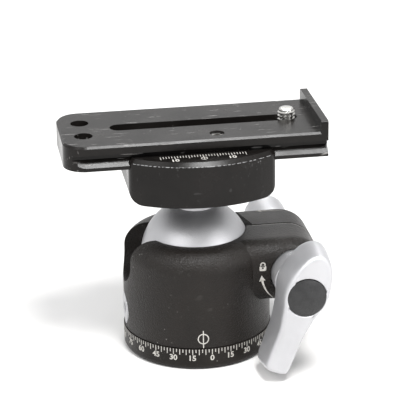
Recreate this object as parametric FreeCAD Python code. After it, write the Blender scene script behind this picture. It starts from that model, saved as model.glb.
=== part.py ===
import FreeCAD, Part
import math
import os

from FreeCAD import Rotation, Vector

# Tripod ball head with a quick-release clamp and the camera plate that it holds.
# Millimetres. +Z is up, the origin is the centre of the base's underside, and -Y is the
# front, where the index mark and the lock lever are. The drop notch is on the -X side.

# Clearances
RUNNING_GAP = 0.05      # radial, a shaft in its bore
SLIDE_GAP = 0.1         # flat faces that slide on each other
FREE_GAP = 0.3          # faces that pass each other without touching

# Panning base
BASE_R = 27.0
BASE_HEIGHT = 8.2
BASE_EDGE_R = 1.9
BUSH_R = 7.0
BUSH_FLANGE_R = 8.4
BUSH_FLANGE_HEIGHT = 2.3
THREAD_R = 3.97         # core of the 3/8 inch tripod thread
GLIDE_OUTER_R = 24.5
GLIDE_INNER_R = 20.5
GLIDE_THICKNESS = 0.8

# Spindle that the housing turns on
SPINDLE_POST_R = 14.0
SPINDLE_FLANGE_R = 17.0
SPINDLE_FLANGE_Z = 10.9
SPINDLE_TOP_Z = 18.0
SPINDLE_DISH_R = 13.0
SPINDLE_DISH_DEPTH = 5.4
SPINDLE_DISH_SLOPE = 2.0
SPINDLE_SCREW_CIRCLE_R = 11.2
SPINDLE_SCREW_R = 1.6
SPINDLE_SCREW_HEAD_R = 2.6
SPINDLE_SCREW_SINK = 0.3
SPINDLE_SCREW_LENGTH = 11.5
SPINDLE_SCREW_COUNT = 3
RETAINER_THICKNESS = 1.9

# Ball and its stem
BALL_R = 20.0
BALL_Z = 35.0
NECK_R = 7.0
COLLAR_R = 7.5
COLLAR_RISE = 1.2
CLAMP_Z = 62.7          # underside of the quick-release clamp

# Housing
HOUSING_R = 26.8
HOUSING_TOP = 44.0
SHOULDER_R = 8.0
BORE_R = 19.0
BEARING_PLATE_THICKNESS = 1.6
BEARING_PLATE_BORE_R = 14.2
SEAT_SPRING_HEIGHT = 1.0
SEAT_SPRING_THICKNESS = 0.5
SEAT_THICKNESS = 4.8
NOTCH_HALF = 9.0
EAR_EDGE_REACH = 20.1       # from the ball's axis to the straight edge of the rear ear
EAR_EDGE_TURN = 15.0        # degrees from +X towards the rear
EAR_EDGE_SLOPE = 50.0       # degrees from level
KERF_WIDTH = 0.7
KERF_Y = -0.9

# Clamping boss with the bolt, the lock lever and the drag knob on one line along Y
BOLT_X = 32.3
BOLT_Z = 32.3
BOLT_R = 3.0
BOSS_FRONT = 20.5
BOSS_BACK = 14.5
BOSS_FRONT_EDGE_R = 7.0
BOSS_BACK_EDGE_R = 2.0
HUB_SEAT = 16.0             # depth of the hub's round seat, from the ball's axis
NUT_R = 5.0
NUT_LENGTH = 9.0
BOLT_INTO_NUT = 4.0
WASHER_THICKNESS = 1.0
HUB_R = 8.4
LEVER_BACK = 28.0
LEVER_THICKNESS = 15.0
LEVER_TOP_REACH = 17.0
LEVER_TIP_REACH = 31.0
LEVER_HUB_HALF = 8.9
LEVER_SHOULDER_HALF = 5.9
LEVER_WAIST_HALF = 5.4
LEVER_TIP_HALF = 4.7
LEVER_TURN = 21.0           # degrees, the tip hangs to the left of straight down
LEVER_FRONT_WIDTH = 0.86    # share of the widest section
LEVER_FRONT_LENGTH = 0.94
LEVER_BACK_SHARE = 0.95
LEVER_BACK_BEVEL = 2.5
LEVER_FRONT_BEVEL = 6.0
CAP_R = 6.9
CAP_RISE = 1.4
CAP_SINK = 2.4
LEVER_SCREW_HEAD_R = 5.0
LEVER_SCREW_HEAD_HEIGHT = 3.0
LEVER_SCREW_R = 2.0
LEVER_SCREW_LENGTH = 10.0
KNOB_R = 8.0
KNOB_START = 22.0
KNOB_END = 39.8
KNOB_EDGE_R = 3.0
KNOB_NECK_R = 6.0
KNOB_STUD_LENGTH = 16.0

# Drag pad that bears on the side of the ball
PAD_R = 6.0
PAD_LENGTH = 4.9
PAD_SPRING_LENGTH = 1.6

# Panning lock
PAN_LOCK_Z = 14.8
PAN_LOCK_HEAD_R = 5.9
PAN_LOCK_HEAD_HEIGHT = 3.2
PAN_LOCK_R = 2.5
PAN_LOCK_SINK = 0.2
PAN_LOCK_SOCKET_DEPTH = 2.0
PAN_LOCK_SOCKET = 4.0       # across flats
SHOE_LENGTH = 3.4

# Camera plate
PLATE_WIDTH = 38.1
PLATE_LEFT = -48.1
PLATE_RIGHT = 44.7
PLATE_THICKNESS = 9.0
PLATE_TOP = 84.4
PLATE_EDGE = 0.7
PLATE_CORNER_R = 8.0
GROOVE_DEPTH = 2.5
GROOVE_ROOF = 3.2           # from the plate's top to the groove
GROOVE_ROOF_SLOPE = 0.8
GROOVE_FLAT = 1.2
GROOVE_START = -43.5
GROOVE_CUTTER_R = 5.0
FLANGE_THICKNESS = 2.5
FLANGE_RISE = 4.1
FLANGE_EDGE_R = 1.0
SLOT_LEFT = -30.2
SLOT_RIGHT = 37.2
SLOT_WIDTH = 6.6
COUNTERSLOT_WIDTH = 13.0
COUNTERSLOT_DEPTH = 5.2
HOLE_X = -40.2
HOLE_Y = 6.95
HOLE_R = 3.25
SOCKET_SCREW_X = 6.2
SOCKET_SCREW_Y = -12.6
SOCKET_SCREW_R = 2.6
SOCKET_SCREW_SINK = 0.8
SOCKET_SCREW_LENGTH = 4.0
SOCKET_SCREW_SOCKET = 2.5
STOP_SCREW_REACH = 1.2
STOP_SCREW_R = 1.9
STOP_SCREW_LENGTH = 4.5
STOP_X = (-44.0, 40.0)
STOP_Y = 12.6

# Camera screw
CAMERA_SCREW_X = 33.4
CAMERA_SCREW_R = 3.175      # 1/4 inch
CAMERA_SCREW_NECK_R = 2.45
CAMERA_SCREW_TIP = 0.6         # chamfer at the screw's end
CAMERA_SCREW_RUNOUT = 2.5      # shallow start of the thread inside the slot
CAMERA_SCREW_RUNOUT_R = 2.95
CAMERA_SCREW_HEAD_R = 6.0
CAMERA_SCREW_HEAD_HEIGHT = 3.4
CAMERA_SCREW_PROUD = 3.6
CAMERA_SCREW_SOCKET = 4.0
KEEPER_THICKNESS = 0.8

# Quick-release clamp
CLAMP_HALF = 26.0
CLAMP_FRONT = 28.3
CLAMP_FRONT_R = 42.0
CLAMP_BACK = 15.2
CLAMP_TOP = 79.2
CLAMP_CORNER_R = 4.0
CLAMP_END_R = 4.5
CLAMP_CHAMFER = 1.4
CLAMP_SCREW_HEAD_R = 5.0
CLAMP_SCREW_HEAD_HEIGHT = 4.0
CLAMP_SCREW_R = 3.0
CLAMP_SCREW_SEAT = 6.4      # floor left under the screw's head
CLAMP_SCREW_LENGTH = 20.0
CLAMP_SCREW_SOCKET = 5.0
JAW_DEPTH = 10.5
JAW_HALF = 24.0
JAW_FOOT_GAP = 0.6
JAW_CORNER_R = 5.0
JAW_OPENING = 3.0
JAW_SWING = 90.0            # degrees that the clamp's lever turns to open the jaw
GUIDE_PIN_R = 2.0
GUIDE_PIN_X = 17.0
GUIDE_PIN_Z = 69.0
GUIDE_PIN_START = 4.0
GUIDE_PIN_LENGTH = 20.0
SPRING_R = 3.2
SPRING_START = 9.0
DRAW_BOLT_R = 2.5
DRAW_BOLT_START = 6.5
DRAW_EYE_R = 3.2
DRAW_EYE_THICKNESS = 4.0
PIVOT_R = 1.5
PIVOT_LENGTH = 11.6
CAM_R = 6.5
CAM_HEIGHT = 11.0
ARM_LENGTH = 27.0
ARM_THICKNESS = 4.2
ARM_HEIGHT = 9.0
JAW_PLAY = 0.15

# Places worked out from the sizes above
ORIGIN = Vector(0, 0, 0)
X_AXIS = Vector(1, 0, 0)
Y_AXIS = Vector(0, 1, 0)
Z_AXIS = Vector(0, 0, 1)
BALL_CENTRE = Vector(0, 0, BALL_Z)
HOUSING_BOTTOM = BASE_HEIGHT + FREE_GAP
GLIDE_TOP = HOUSING_BOTTOM - RUNNING_GAP
BUSH_TOP = BASE_HEIGHT + BUSH_FLANGE_HEIGHT
RETAINER_TOP = SPINDLE_FLANGE_Z - SLIDE_GAP
BEARING_PLATE_Z = SPINDLE_TOP_Z + FREE_GAP
SEAT_SPRING_Z = BEARING_PLATE_Z + BEARING_PLATE_THICKNESS
SEAT_Z = SEAT_SPRING_Z + SEAT_SPRING_HEIGHT
SEAT_TOP = SEAT_Z + SEAT_THICKNESS
SEAT_R = BORE_R - RUNNING_GAP
POCKET_R = BALL_R + FREE_GAP
BOSS_R = HOUSING_TOP - BOLT_Z
WASHER_FRONT = HUB_SEAT + WASHER_THICKNESS
HUB_BACK = WASHER_FRONT + RUNNING_GAP
LEVER_FRONT = LEVER_BACK + LEVER_THICKNESS
CAP_FLOOR = LEVER_FRONT - CAP_SINK
LEVER_SCREW_SEAT = CAP_FLOOR - LEVER_SCREW_HEAD_HEIGHT - FREE_GAP
BOLT_FRONT = LEVER_SCREW_SEAT - SLIDE_GAP
NUT_START = BOSS_BACK - NUT_LENGTH
BOLT_BACK = NUT_START + BOLT_INTO_NUT
STUD_START = BOLT_BACK + FREE_GAP
PAN_LOCK_FACE = HOUSING_R - PAN_LOCK_SINK
PAN_LOCK_SEAT = PAN_LOCK_FACE - PAN_LOCK_HEAD_HEIGHT
PLATE_BOTTOM = PLATE_TOP - PLATE_THICKNESS
PLATE_HALF = PLATE_WIDTH / 2
GROOVE_HALF = PLATE_HALF - GROOVE_DEPTH
GROOVE_CEILING = PLATE_TOP - GROOVE_ROOF
GROOVE_FLOOR = GROOVE_CEILING - GROOVE_ROOF_SLOPE - GROOVE_FLAT
LIP_TOP = GROOVE_FLOOR - GROOVE_DEPTH
SLOT_HALF = SLOT_WIDTH / 2
COUNTERSLOT_HALF = COUNTERSLOT_WIDTH / 2
COUNTERSLOT_TOP = PLATE_BOTTOM + COUNTERSLOT_DEPTH
CLAMP_FLOOR = PLATE_BOTTOM - SLIDE_GAP
CLAMP_SCREW_HEAD_Z = CLAMP_Z + CLAMP_SCREW_SEAT
JAW_FRONT = CLAMP_BACK + SLIDE_GAP
JAW_BACK = JAW_FRONT + JAW_DEPTH
JAW_BOTTOM = CLAMP_Z + JAW_FOOT_GAP
PIVOT_Y = JAW_BACK + CAM_R + RUNNING_GAP
PAD_BACK = BALL_R + PAD_LENGTH
PAD_BORE_END = PAD_BACK + PAD_SPRING_LENGTH + SLIDE_GAP


def cylinder(radius, length, start, axis=Z_AXIS):
    return Part.makeCylinder(radius, length, start, axis)


def tube(outer, inner, length, start, axis=Z_AXIS):
    return cylinder(outer, length, start, axis).cut(cylinder(inner, length, start, axis))


def box(x_range, y_range, z_range):
    sizes = [high - low for low, high in (x_range, y_range, z_range)]
    return Part.makeBox(*sizes, Vector(x_range[0], y_range[0], z_range[0]))


def turned(profile):
    """Solid turned about Z from (radius, z) points."""
    corners = [Vector(r, 0, z) for r, z in profile]
    return Part.Face(Part.makePolygon(corners + corners[:1])).revolve(ORIGIN, Z_AXIS, 360)


def prism(corners, push):
    """Solid pushed from a flat outline of points."""
    return Part.Face(Part.makePolygon(corners + corners[:1])).extrude(push)


def hexagon(across_flats, depth, start, axis):
    """Hexagon socket cutter."""
    side = across_flats / math.sqrt(3)
    turns = [math.radians(60 * i) for i in range(6)]
    shape = prism([Vector(side * math.cos(t), side * math.sin(t), 0) for t in turns], Z_AXIS * depth)
    shape.Placement = FreeCAD.Placement(start, Rotation(Z_AXIS, axis))
    return shape


def around(shape, count, centre=ORIGIN, axis=Z_AXIS, start=0.0):
    """Copies of a shape set evenly round an axis."""
    copies = []
    for i in range(count):
        copy = shape.copy()
        copy.rotate(centre, axis, start + 360.0 * i / count)
        copies.append(copy)
    return copies


def on_bolt_line(y):
    """Point on the clamping bolt's line, y millimetres behind the ball's axis."""
    return Vector(BOLT_X, y, BOLT_Z)


def spindle_screw(gap):
    """Countersunk screw from under the base, grown by a gap for its hole."""
    cone_top = SPINDLE_SCREW_SINK + SPINDLE_SCREW_HEAD_R - SPINDLE_SCREW_R
    bottom = 0.0 if gap else SPINDLE_SCREW_SINK
    shape = turned([
        (0, bottom),
        (SPINDLE_SCREW_HEAD_R + gap, bottom),
        (SPINDLE_SCREW_HEAD_R + gap, SPINDLE_SCREW_SINK + RUNNING_GAP),
        (SPINDLE_SCREW_R + gap, cone_top + RUNNING_GAP),
        (SPINDLE_SCREW_R + gap, SPINDLE_SCREW_LENGTH + gap),
        (0, SPINDLE_SCREW_LENGTH + gap),
    ])
    shape.translate(X_AXIS * SPINDLE_SCREW_CIRCLE_R)
    return Part.Compound(around(shape, SPINDLE_SCREW_COUNT))


def pan_base():
    """Ring that carries the degree scale and stands on the tripod."""
    body = cylinder(BASE_R, BASE_HEIGHT, ORIGIN)
    lower = [edge for edge in body.Edges if edge.BoundBox.ZMax < RUNNING_GAP]
    body = body.makeFillet(BASE_EDGE_R, lower)
    floor = Vector(0, 0, GLIDE_TOP - GLIDE_THICKNESS)
    body = body.cut(tube(GLIDE_OUTER_R + RUNNING_GAP, GLIDE_INNER_R - RUNNING_GAP, GLIDE_THICKNESS, floor))
    body = body.cut(cylinder(BUSH_R + RUNNING_GAP, BASE_HEIGHT, ORIGIN))
    return body.cut(spindle_screw(RUNNING_GAP))


def tripod_thread_bush():
    body = cylinder(BUSH_R, BUSH_TOP, ORIGIN)
    body = body.fuse(cylinder(BUSH_FLANGE_R, BUSH_FLANGE_HEIGHT, Vector(0, 0, BASE_HEIGHT)))
    return body.cut(cylinder(THREAD_R, BUSH_TOP, ORIGIN))


def pan_glide_ring():
    return tube(GLIDE_OUTER_R, GLIDE_INNER_R, GLIDE_THICKNESS, Vector(0, 0, GLIDE_TOP - GLIDE_THICKNESS))


def pan_spindle():
    """Flanged and dished post that the housing turns on."""
    recess_r = BUSH_FLANGE_R + RUNNING_GAP
    recess_z = BUSH_TOP + RUNNING_GAP
    floor = SPINDLE_TOP_Z - SPINDLE_DISH_DEPTH
    body = turned([
        (0, recess_z),
        (recess_r, recess_z),
        (recess_r, BASE_HEIGHT),
        (SPINDLE_POST_R, BASE_HEIGHT),
        (SPINDLE_POST_R, SPINDLE_FLANGE_Z),
        (SPINDLE_FLANGE_R, SPINDLE_FLANGE_Z),
        (SPINDLE_FLANGE_R, SPINDLE_TOP_Z),
        (SPINDLE_DISH_R, SPINDLE_TOP_Z),
        (SPINDLE_DISH_R, floor + SPINDLE_DISH_SLOPE),
        (SPINDLE_DISH_R - SPINDLE_DISH_SLOPE, floor),
        (0, floor),
    ])
    return body.cut(spindle_screw(RUNNING_GAP))


def retaining_ring():
    """Threaded ring under the spindle's flange, which keeps the housing on."""
    start = Vector(0, 0, RETAINER_TOP - RETAINER_THICKNESS)
    return tube(SEAT_R, SPINDLE_POST_R + RUNNING_GAP, RETAINER_THICKNESS, start)


def bearing_plate():
    return tube(SEAT_R, BEARING_PLATE_BORE_R, BEARING_PLATE_THICKNESS, Vector(0, 0, BEARING_PLATE_Z))


def seat_spring():
    """Disc spring that lifts the lower seat against the ball."""
    inner = BEARING_PLATE_BORE_R + FREE_GAP
    outer = SEAT_R - FREE_GAP
    rise = SEAT_SPRING_HEIGHT - SEAT_SPRING_THICKNESS
    return turned([
        (inner, SEAT_SPRING_Z),
        (outer, SEAT_SPRING_Z + rise),
        (outer, SEAT_SPRING_Z + SEAT_SPRING_HEIGHT),
        (inner, SEAT_SPRING_Z + SEAT_SPRING_THICKNESS),
    ])


def lower_seat():
    """Ring with a spherical face under the ball."""
    body = cylinder(SEAT_R, SEAT_THICKNESS, Vector(0, 0, SEAT_Z))
    return body.cut(Part.makeSphere(BALL_R + RUNNING_GAP, BALL_CENTRE))


def clamping_boss():
    """Boss on the right whose round side is centred on the bolt and meets the flat top."""
    top = Vector(BOLT_X, -BOSS_FRONT, HOUSING_TOP)
    bottom = Vector(BOLT_X, -BOSS_FRONT, BOLT_Z - BOSS_R)
    side = Vector(BOLT_X + BOSS_R, -BOSS_FRONT, BOLT_Z)
    inner_top = Vector(0, -BOSS_FRONT, HOUSING_TOP)
    inner_bottom = Vector(0, -BOSS_FRONT, bottom.z)
    wire = Part.Wire([
        Part.LineSegment(inner_bottom, inner_top).toShape(),
        Part.LineSegment(inner_top, top).toShape(),
        Part.Arc(top, side, bottom).toShape(),
        Part.LineSegment(bottom, inner_bottom).toShape(),
    ])
    body = Part.Face(wire).extrude(Y_AXIS * (BOSS_FRONT + BOSS_BACK))
    outer = [edge for edge in body.Edges if edge.BoundBox.XMax > BOSS_R and edge.BoundBox.YLength < RUNNING_GAP]
    front = [edge for edge in outer if edge.BoundBox.YMax < 0]
    back = [edge for edge in outer if edge.BoundBox.YMin > 0]
    body = body.makeFillet(BOSS_FRONT_EDGE_R, front)
    back = [
        edge for edge in body.Edges
        if edge.BoundBox.YMin > BOSS_BACK - RUNNING_GAP and edge.BoundBox.XMax > BOSS_R
    ]
    return body.makeFillet(BOSS_BACK_EDGE_R, back)


def rear_ear_edge():
    """Cutter for the straight sloping edge of the rear ear beside the ball."""
    turn = math.radians(EAR_EDGE_TURN)
    out = Vector(math.cos(turn), math.sin(turn), 0)
    along = Vector(-math.sin(turn), math.cos(turn), 0)
    width = SHOULDER_R
    depth = width * math.tan(math.radians(EAR_EDGE_SLOPE))
    kerf_back = KERF_Y + KERF_WIDTH / 2
    start = (kerf_back - EAR_EDGE_REACH * out.y) / along.y
    foot = out * EAR_EDGE_REACH + along * start
    corners = [
        foot + Z_AXIS * HOUSING_TOP,
        foot - out * width + Z_AXIS * (HOUSING_TOP - depth),
        foot - out * width + Z_AXIS * (HOUSING_TOP + 1),
        foot + Z_AXIS * (HOUSING_TOP + 1),
    ]
    return prism(corners, along * BORE_R)


def drop_notch():
    """U-shaped slot in the left wall that the stem drops into."""
    reach = HOUSING_R + 1
    slot = box((-reach, 0), (-NOTCH_HALF, NOTCH_HALF), (BALL_Z, HOUSING_TOP + 1))
    return slot.fuse(cylinder(NOTCH_HALF, reach, BALL_CENTRE, -X_AXIS))


def housing():
    """Ball housing with a split boss, a drop notch and a soft shoulder."""
    body = cylinder(HOUSING_R, HOUSING_TOP - HOUSING_BOTTOM, Vector(0, 0, HOUSING_BOTTOM))
    upper = [edge for edge in body.Edges if edge.BoundBox.ZMin > HOUSING_TOP - RUNNING_GAP]
    body = body.makeFillet(SHOULDER_R, upper)
    body = body.fuse(clamping_boss())
    body = body.cut(Part.makeSphere(POCKET_R, BALL_CENTRE))
    body = body.cut(cylinder(BORE_R, SEAT_TOP + 2 * FREE_GAP - HOUSING_BOTTOM, Vector(0, 0, HOUSING_BOTTOM)))
    body = body.cut(drop_notch())
    body = body.cut(rear_ear_edge())
    body = body.cut(cylinder(HUB_R + FREE_GAP, BOSS_FRONT, on_bolt_line(-HUB_SEAT), -Y_AXIS))
    body = body.cut(cylinder(BOLT_R + RUNNING_GAP, HUB_SEAT + BOSS_BACK, on_bolt_line(-HUB_SEAT), Y_AXIS))
    body = body.cut(cylinder(NUT_R + RUNNING_GAP, NUT_LENGTH, on_bolt_line(NUT_START), Y_AXIS))
    half = KERF_WIDTH / 2
    kerf = box((0, BOLT_X + BOSS_R + 1), (KERF_Y - half, KERF_Y + half), (BOLT_Z - BOSS_R, HOUSING_TOP + 1))
    body = body.cut(kerf)
    body = body.cut(cylinder(PAD_R + RUNNING_GAP, PAD_BORE_END, BALL_CENTRE, X_AXIS))
    lock_line = Vector(-SPINDLE_FLANGE_R, 0, PAN_LOCK_Z)
    body = body.cut(cylinder(PAN_LOCK_R + RUNNING_GAP, HOUSING_R, lock_line, -X_AXIS))
    seat = Vector(-PAN_LOCK_SEAT + SLIDE_GAP, 0, PAN_LOCK_Z)
    return body.cut(cylinder(PAN_LOCK_HEAD_R + FREE_GAP, HOUSING_R, seat, -X_AXIS))


def clamp_nut():
    """Threaded sleeve in the rear ear that the bolt and the drag stud screw into."""
    return tube(NUT_R, BOLT_R + RUNNING_GAP, NUT_LENGTH, on_bolt_line(NUT_START), Y_AXIS)


def lever_washer():
    return tube(HUB_R, BOLT_R + RUNNING_GAP, WASHER_THICKNESS, on_bolt_line(-WASHER_FRONT), Y_AXIS)


def knob_washer():
    return tube(KNOB_NECK_R, BOLT_R + RUNNING_GAP, WASHER_THICKNESS, on_bolt_line(BOSS_BACK), Y_AXIS)


def pan_brake_shoe():
    """Brass shoe with a hollow face that grips the spindle's flange."""
    start = Vector(-SPINDLE_DISH_R, 0, PAN_LOCK_Z)
    reach = SPINDLE_FLANGE_R + RUNNING_GAP
    body = cylinder(PAN_LOCK_R, reach + SHOE_LENGTH - SPINDLE_DISH_R, start, -X_AXIS)
    return body.cut(cylinder(reach, HOUSING_TOP, ORIGIN))


def pan_lock_screw():
    """Flat-headed screw in the left side that presses on the brake shoe."""
    end = SPINDLE_FLANGE_R + RUNNING_GAP + SHOE_LENGTH + RUNNING_GAP
    body = cylinder(PAN_LOCK_HEAD_R, PAN_LOCK_HEAD_HEIGHT, Vector(-PAN_LOCK_SEAT, 0, PAN_LOCK_Z), -X_AXIS)
    body = body.fuse(cylinder(PAN_LOCK_R, PAN_LOCK_SEAT - end, Vector(-end, 0, PAN_LOCK_Z), -X_AXIS))
    face = Vector(-PAN_LOCK_FACE, 0, PAN_LOCK_Z)
    return body.cut(hexagon(PAN_LOCK_SOCKET, PAN_LOCK_SOCKET_DEPTH, face, X_AXIS))


def drag_pad():
    """Round pad with a hollow face against the side of the ball."""
    start = Vector(BALL_R - PAD_LENGTH, 0, BALL_Z)
    body = cylinder(PAD_R, 2 * PAD_LENGTH, start, X_AXIS)
    return body.cut(Part.makeSphere(BALL_R + RUNNING_GAP, BALL_CENTRE))


def pad_spring():
    start = Vector(PAD_BACK + RUNNING_GAP, 0, BALL_Z)
    return tube(PAD_R - FREE_GAP, PAD_R / 2, PAD_SPRING_LENGTH, start, X_AXIS)


def ball():
    """Ball with the stem that the clamp is screwed to."""
    collar_z = math.sqrt(BALL_R ** 2 - COLLAR_R ** 2) + COLLAR_RISE
    body = Part.makeSphere(BALL_R, BALL_CENTRE)
    body = body.fuse(cylinder(COLLAR_R, collar_z, BALL_CENTRE))
    body = body.fuse(cylinder(NECK_R, CLAMP_Z - SLIDE_GAP - BALL_Z, BALL_CENTRE))
    hole_end = CLAMP_SCREW_HEAD_Z - CLAMP_SCREW_LENGTH - RUNNING_GAP
    return body.cut(cylinder(CLAMP_SCREW_R + RUNNING_GAP, CLAMP_Z - hole_end, Vector(0, 0, hole_end)))


def clamp_screw():
    """Socket-head screw through the clamp's floor into the stem."""
    head = Vector(0, 0, CLAMP_SCREW_HEAD_Z + RUNNING_GAP)
    body = cylinder(CLAMP_SCREW_HEAD_R, CLAMP_SCREW_HEAD_HEIGHT, head)
    body = body.fuse(cylinder(CLAMP_SCREW_R, CLAMP_SCREW_LENGTH, Vector(0, 0, head.z - CLAMP_SCREW_LENGTH)))
    top = head + Z_AXIS * CLAMP_SCREW_HEAD_HEIGHT
    return body.cut(hexagon(CLAMP_SCREW_SOCKET, CLAMP_SCREW_HEAD_HEIGHT / 2, top, -Z_AXIS))


def plate_channel(side, reach):
    """Cutter for the space between a jaw and the plate, on one side of the plate."""
    lip = PLATE_HALF + JAW_PLAY
    neck = GROOVE_HALF + JAW_PLAY
    above = CLAMP_TOP + 1
    points = [
        (-reach, CLAMP_FLOOR),
        (lip, CLAMP_FLOOR),
        (lip, LIP_TOP),
        (neck, GROOVE_FLOOR),
        (neck, above),
        (-reach, above),
    ]
    corners = [Vector(-CLAMP_HALF - 1, side * y, z) for y, z in points]
    return prism(corners, X_AXIS * (2 * CLAMP_HALF + 2))


def pin_line(shape):
    """A shape and its mirror image on the other guide pin's line."""
    return Part.Compound([shape, shape.mirror(ORIGIN, X_AXIS)])


def clamp_body():
    """Floor and front jaw of the quick-release clamp, with a bowed front."""
    side_y = CLAMP_FRONT_R - math.sqrt(CLAMP_FRONT_R ** 2 - CLAMP_HALF ** 2) - CLAMP_FRONT
    left = Vector(-CLAMP_HALF, side_y, CLAMP_Z)
    right = Vector(CLAMP_HALF, side_y, CLAMP_Z)
    back_left = Vector(-CLAMP_HALF, CLAMP_BACK, CLAMP_Z)
    back_right = Vector(CLAMP_HALF, CLAMP_BACK, CLAMP_Z)
    wire = Part.Wire([
        Part.Arc(left, Vector(0, -CLAMP_FRONT, CLAMP_Z), right).toShape(),
        Part.LineSegment(right, back_right).toShape(),
        Part.LineSegment(back_right, back_left).toShape(),
        Part.LineSegment(back_left, left).toShape(),
    ])
    body = Part.Face(wire).extrude(Z_AXIS * (CLAMP_TOP - CLAMP_Z))
    corners = [
        edge for edge in body.Edges
        if edge.BoundBox.ZLength > CLAMP_CORNER_R and edge.BoundBox.YMax < 0
    ]
    body = body.makeFillet(CLAMP_CORNER_R, corners)
    ends = box((-CLAMP_HALF, CLAMP_HALF), (-CLAMP_FRONT - 1, CLAMP_BACK + 1), (CLAMP_Z, CLAMP_TOP))
    low_ends = [
        edge for edge in ends.Edges
        if edge.BoundBox.YLength > CLAMP_FRONT and edge.BoundBox.ZMax < CLAMP_Z + RUNNING_GAP
    ]
    body = body.common(ends.makeFillet(CLAMP_END_R, low_ends))
    rim = [
        edge for edge in body.Edges
        if edge.BoundBox.ZMin > CLAMP_TOP - RUNNING_GAP and edge.BoundBox.YMin < CLAMP_BACK - 1
    ]
    body = body.makeChamfer(CLAMP_CHAMFER, rim)
    body = body.cut(plate_channel(-1, CLAMP_FRONT))
    body = body.cut(cylinder(CLAMP_SCREW_R + RUNNING_GAP, CLAMP_FLOOR - CLAMP_Z, Vector(0, 0, CLAMP_Z)))
    body = body.cut(cylinder(CLAMP_SCREW_HEAD_R + FREE_GAP, CLAMP_FLOOR, Vector(0, 0, CLAMP_SCREW_HEAD_Z)))
    pin_hole = cylinder(GUIDE_PIN_R + RUNNING_GAP, CLAMP_BACK, Vector(GUIDE_PIN_X, GUIDE_PIN_START, GUIDE_PIN_Z), Y_AXIS)
    pocket = cylinder(SPRING_R + RUNNING_GAP, CLAMP_BACK, Vector(GUIDE_PIN_X, SPRING_START, GUIDE_PIN_Z), Y_AXIS)
    body = body.cut(pin_line(pin_hole)).cut(pin_line(pocket))
    return body.cut(cylinder(DRAW_BOLT_R + RUNNING_GAP, CLAMP_BACK, Vector(0, DRAW_BOLT_START, GUIDE_PIN_Z), Y_AXIS))


def moving_jaw():
    """Rear jaw that slides on two pins."""
    body = box((-JAW_HALF, JAW_HALF), (JAW_FRONT, JAW_BACK), (JAW_BOTTOM, CLAMP_TOP))
    rear = [
        edge for edge in body.Edges
        if edge.BoundBox.ZLength > JAW_CORNER_R and edge.BoundBox.YMin > JAW_FRONT + RUNNING_GAP
    ]
    body = body.makeFillet(JAW_CORNER_R, rear)
    rim = [
        edge for edge in body.Edges
        if edge.BoundBox.ZMin > CLAMP_TOP - RUNNING_GAP and edge.BoundBox.YMax > JAW_FRONT + RUNNING_GAP
    ]
    body = body.makeChamfer(CLAMP_CHAMFER, rim)
    body = body.cut(plate_channel(1, CLAMP_FRONT))
    pin_end = GUIDE_PIN_START + GUIDE_PIN_LENGTH + FREE_GAP
    hole = cylinder(GUIDE_PIN_R + RUNNING_GAP, pin_end - JAW_FRONT, Vector(GUIDE_PIN_X, JAW_FRONT, GUIDE_PIN_Z), Y_AXIS)
    body = body.cut(pin_line(hole))
    return body.cut(cylinder(DRAW_BOLT_R + RUNNING_GAP, JAW_DEPTH, Vector(0, JAW_FRONT, GUIDE_PIN_Z), Y_AXIS))


def jaw_guide_pins():
    start = Vector(GUIDE_PIN_X, GUIDE_PIN_START, GUIDE_PIN_Z)
    return pin_line(cylinder(GUIDE_PIN_R, GUIDE_PIN_LENGTH, start, Y_AXIS))


def jaw_springs():
    """The two opening springs, as the sleeves of space that they fill."""
    start = Vector(GUIDE_PIN_X, SPRING_START + RUNNING_GAP, GUIDE_PIN_Z)
    length = CLAMP_BACK - SPRING_START
    return pin_line(tube(SPRING_R, GUIDE_PIN_R + RUNNING_GAP, length, start, Y_AXIS))


def draw_bolt():
    """Bolt through both jaws, with an eye for the lever's pin."""
    eye_z = GUIDE_PIN_Z - DRAW_EYE_THICKNESS / 2
    body = cylinder(DRAW_BOLT_R, PIVOT_Y - DRAW_BOLT_START, Vector(0, DRAW_BOLT_START, GUIDE_PIN_Z), Y_AXIS)
    body = body.common(box((-CAM_R, CAM_R), (0, PIVOT_Y), (eye_z, eye_z + DRAW_EYE_THICKNESS)).fuse(
        cylinder(DRAW_BOLT_R, JAW_BACK, Vector(0, 0, GUIDE_PIN_Z), Y_AXIS)))
    body = body.fuse(cylinder(DRAW_EYE_R, DRAW_EYE_THICKNESS, Vector(0, PIVOT_Y, eye_z)))
    return body.cut(cylinder(PIVOT_R + RUNNING_GAP, DRAW_EYE_THICKNESS, Vector(0, PIVOT_Y, eye_z)))


def pivot_pin():
    return cylinder(PIVOT_R, PIVOT_LENGTH, Vector(0, PIVOT_Y, GUIDE_PIN_Z - PIVOT_LENGTH / 2))


def cam_outline(bottom):
    """Cam whose reach towards the jaw falls evenly as the lever opens.

    A flat follower at normal angle a stands at h(a) from the pin, so the cam's edge is
    h(a) along the normal plus the slope h'(a) along the tangent.
    """
    slope = -JAW_OPENING / math.radians(JAW_SWING)
    centre = Vector(0, PIVOT_Y, bottom)
    steps = 12
    first = math.radians(235)
    closed = math.radians(270)
    last = closed + math.radians(JAW_SWING)
    edge = []
    for i in range(steps + 1):
        a = first + (last - first) * i / steps
        h = CAM_R + slope * (a - closed)
        edge.append(centre + Vector(math.cos(a), math.sin(a), 0) * h + Vector(-math.sin(a), math.cos(a), 0) * slope)
    curve = Part.BSplineCurve()
    curve.interpolate(edge)
    far = centre + Vector(edge[-1].x, CAM_R / 3, 0)
    crown = centre + Vector(0, CAM_R * 0.75, 0)
    heel = centre + Vector(edge[0].x, CAM_R / 3, 0)
    return Part.Wire([
        curve.toShape(),
        Part.LineSegment(edge[-1], far).toShape(),
        Part.Arc(far, crown, heel).toShape(),
        Part.LineSegment(heel, edge[0]).toShape(),
    ])


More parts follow.
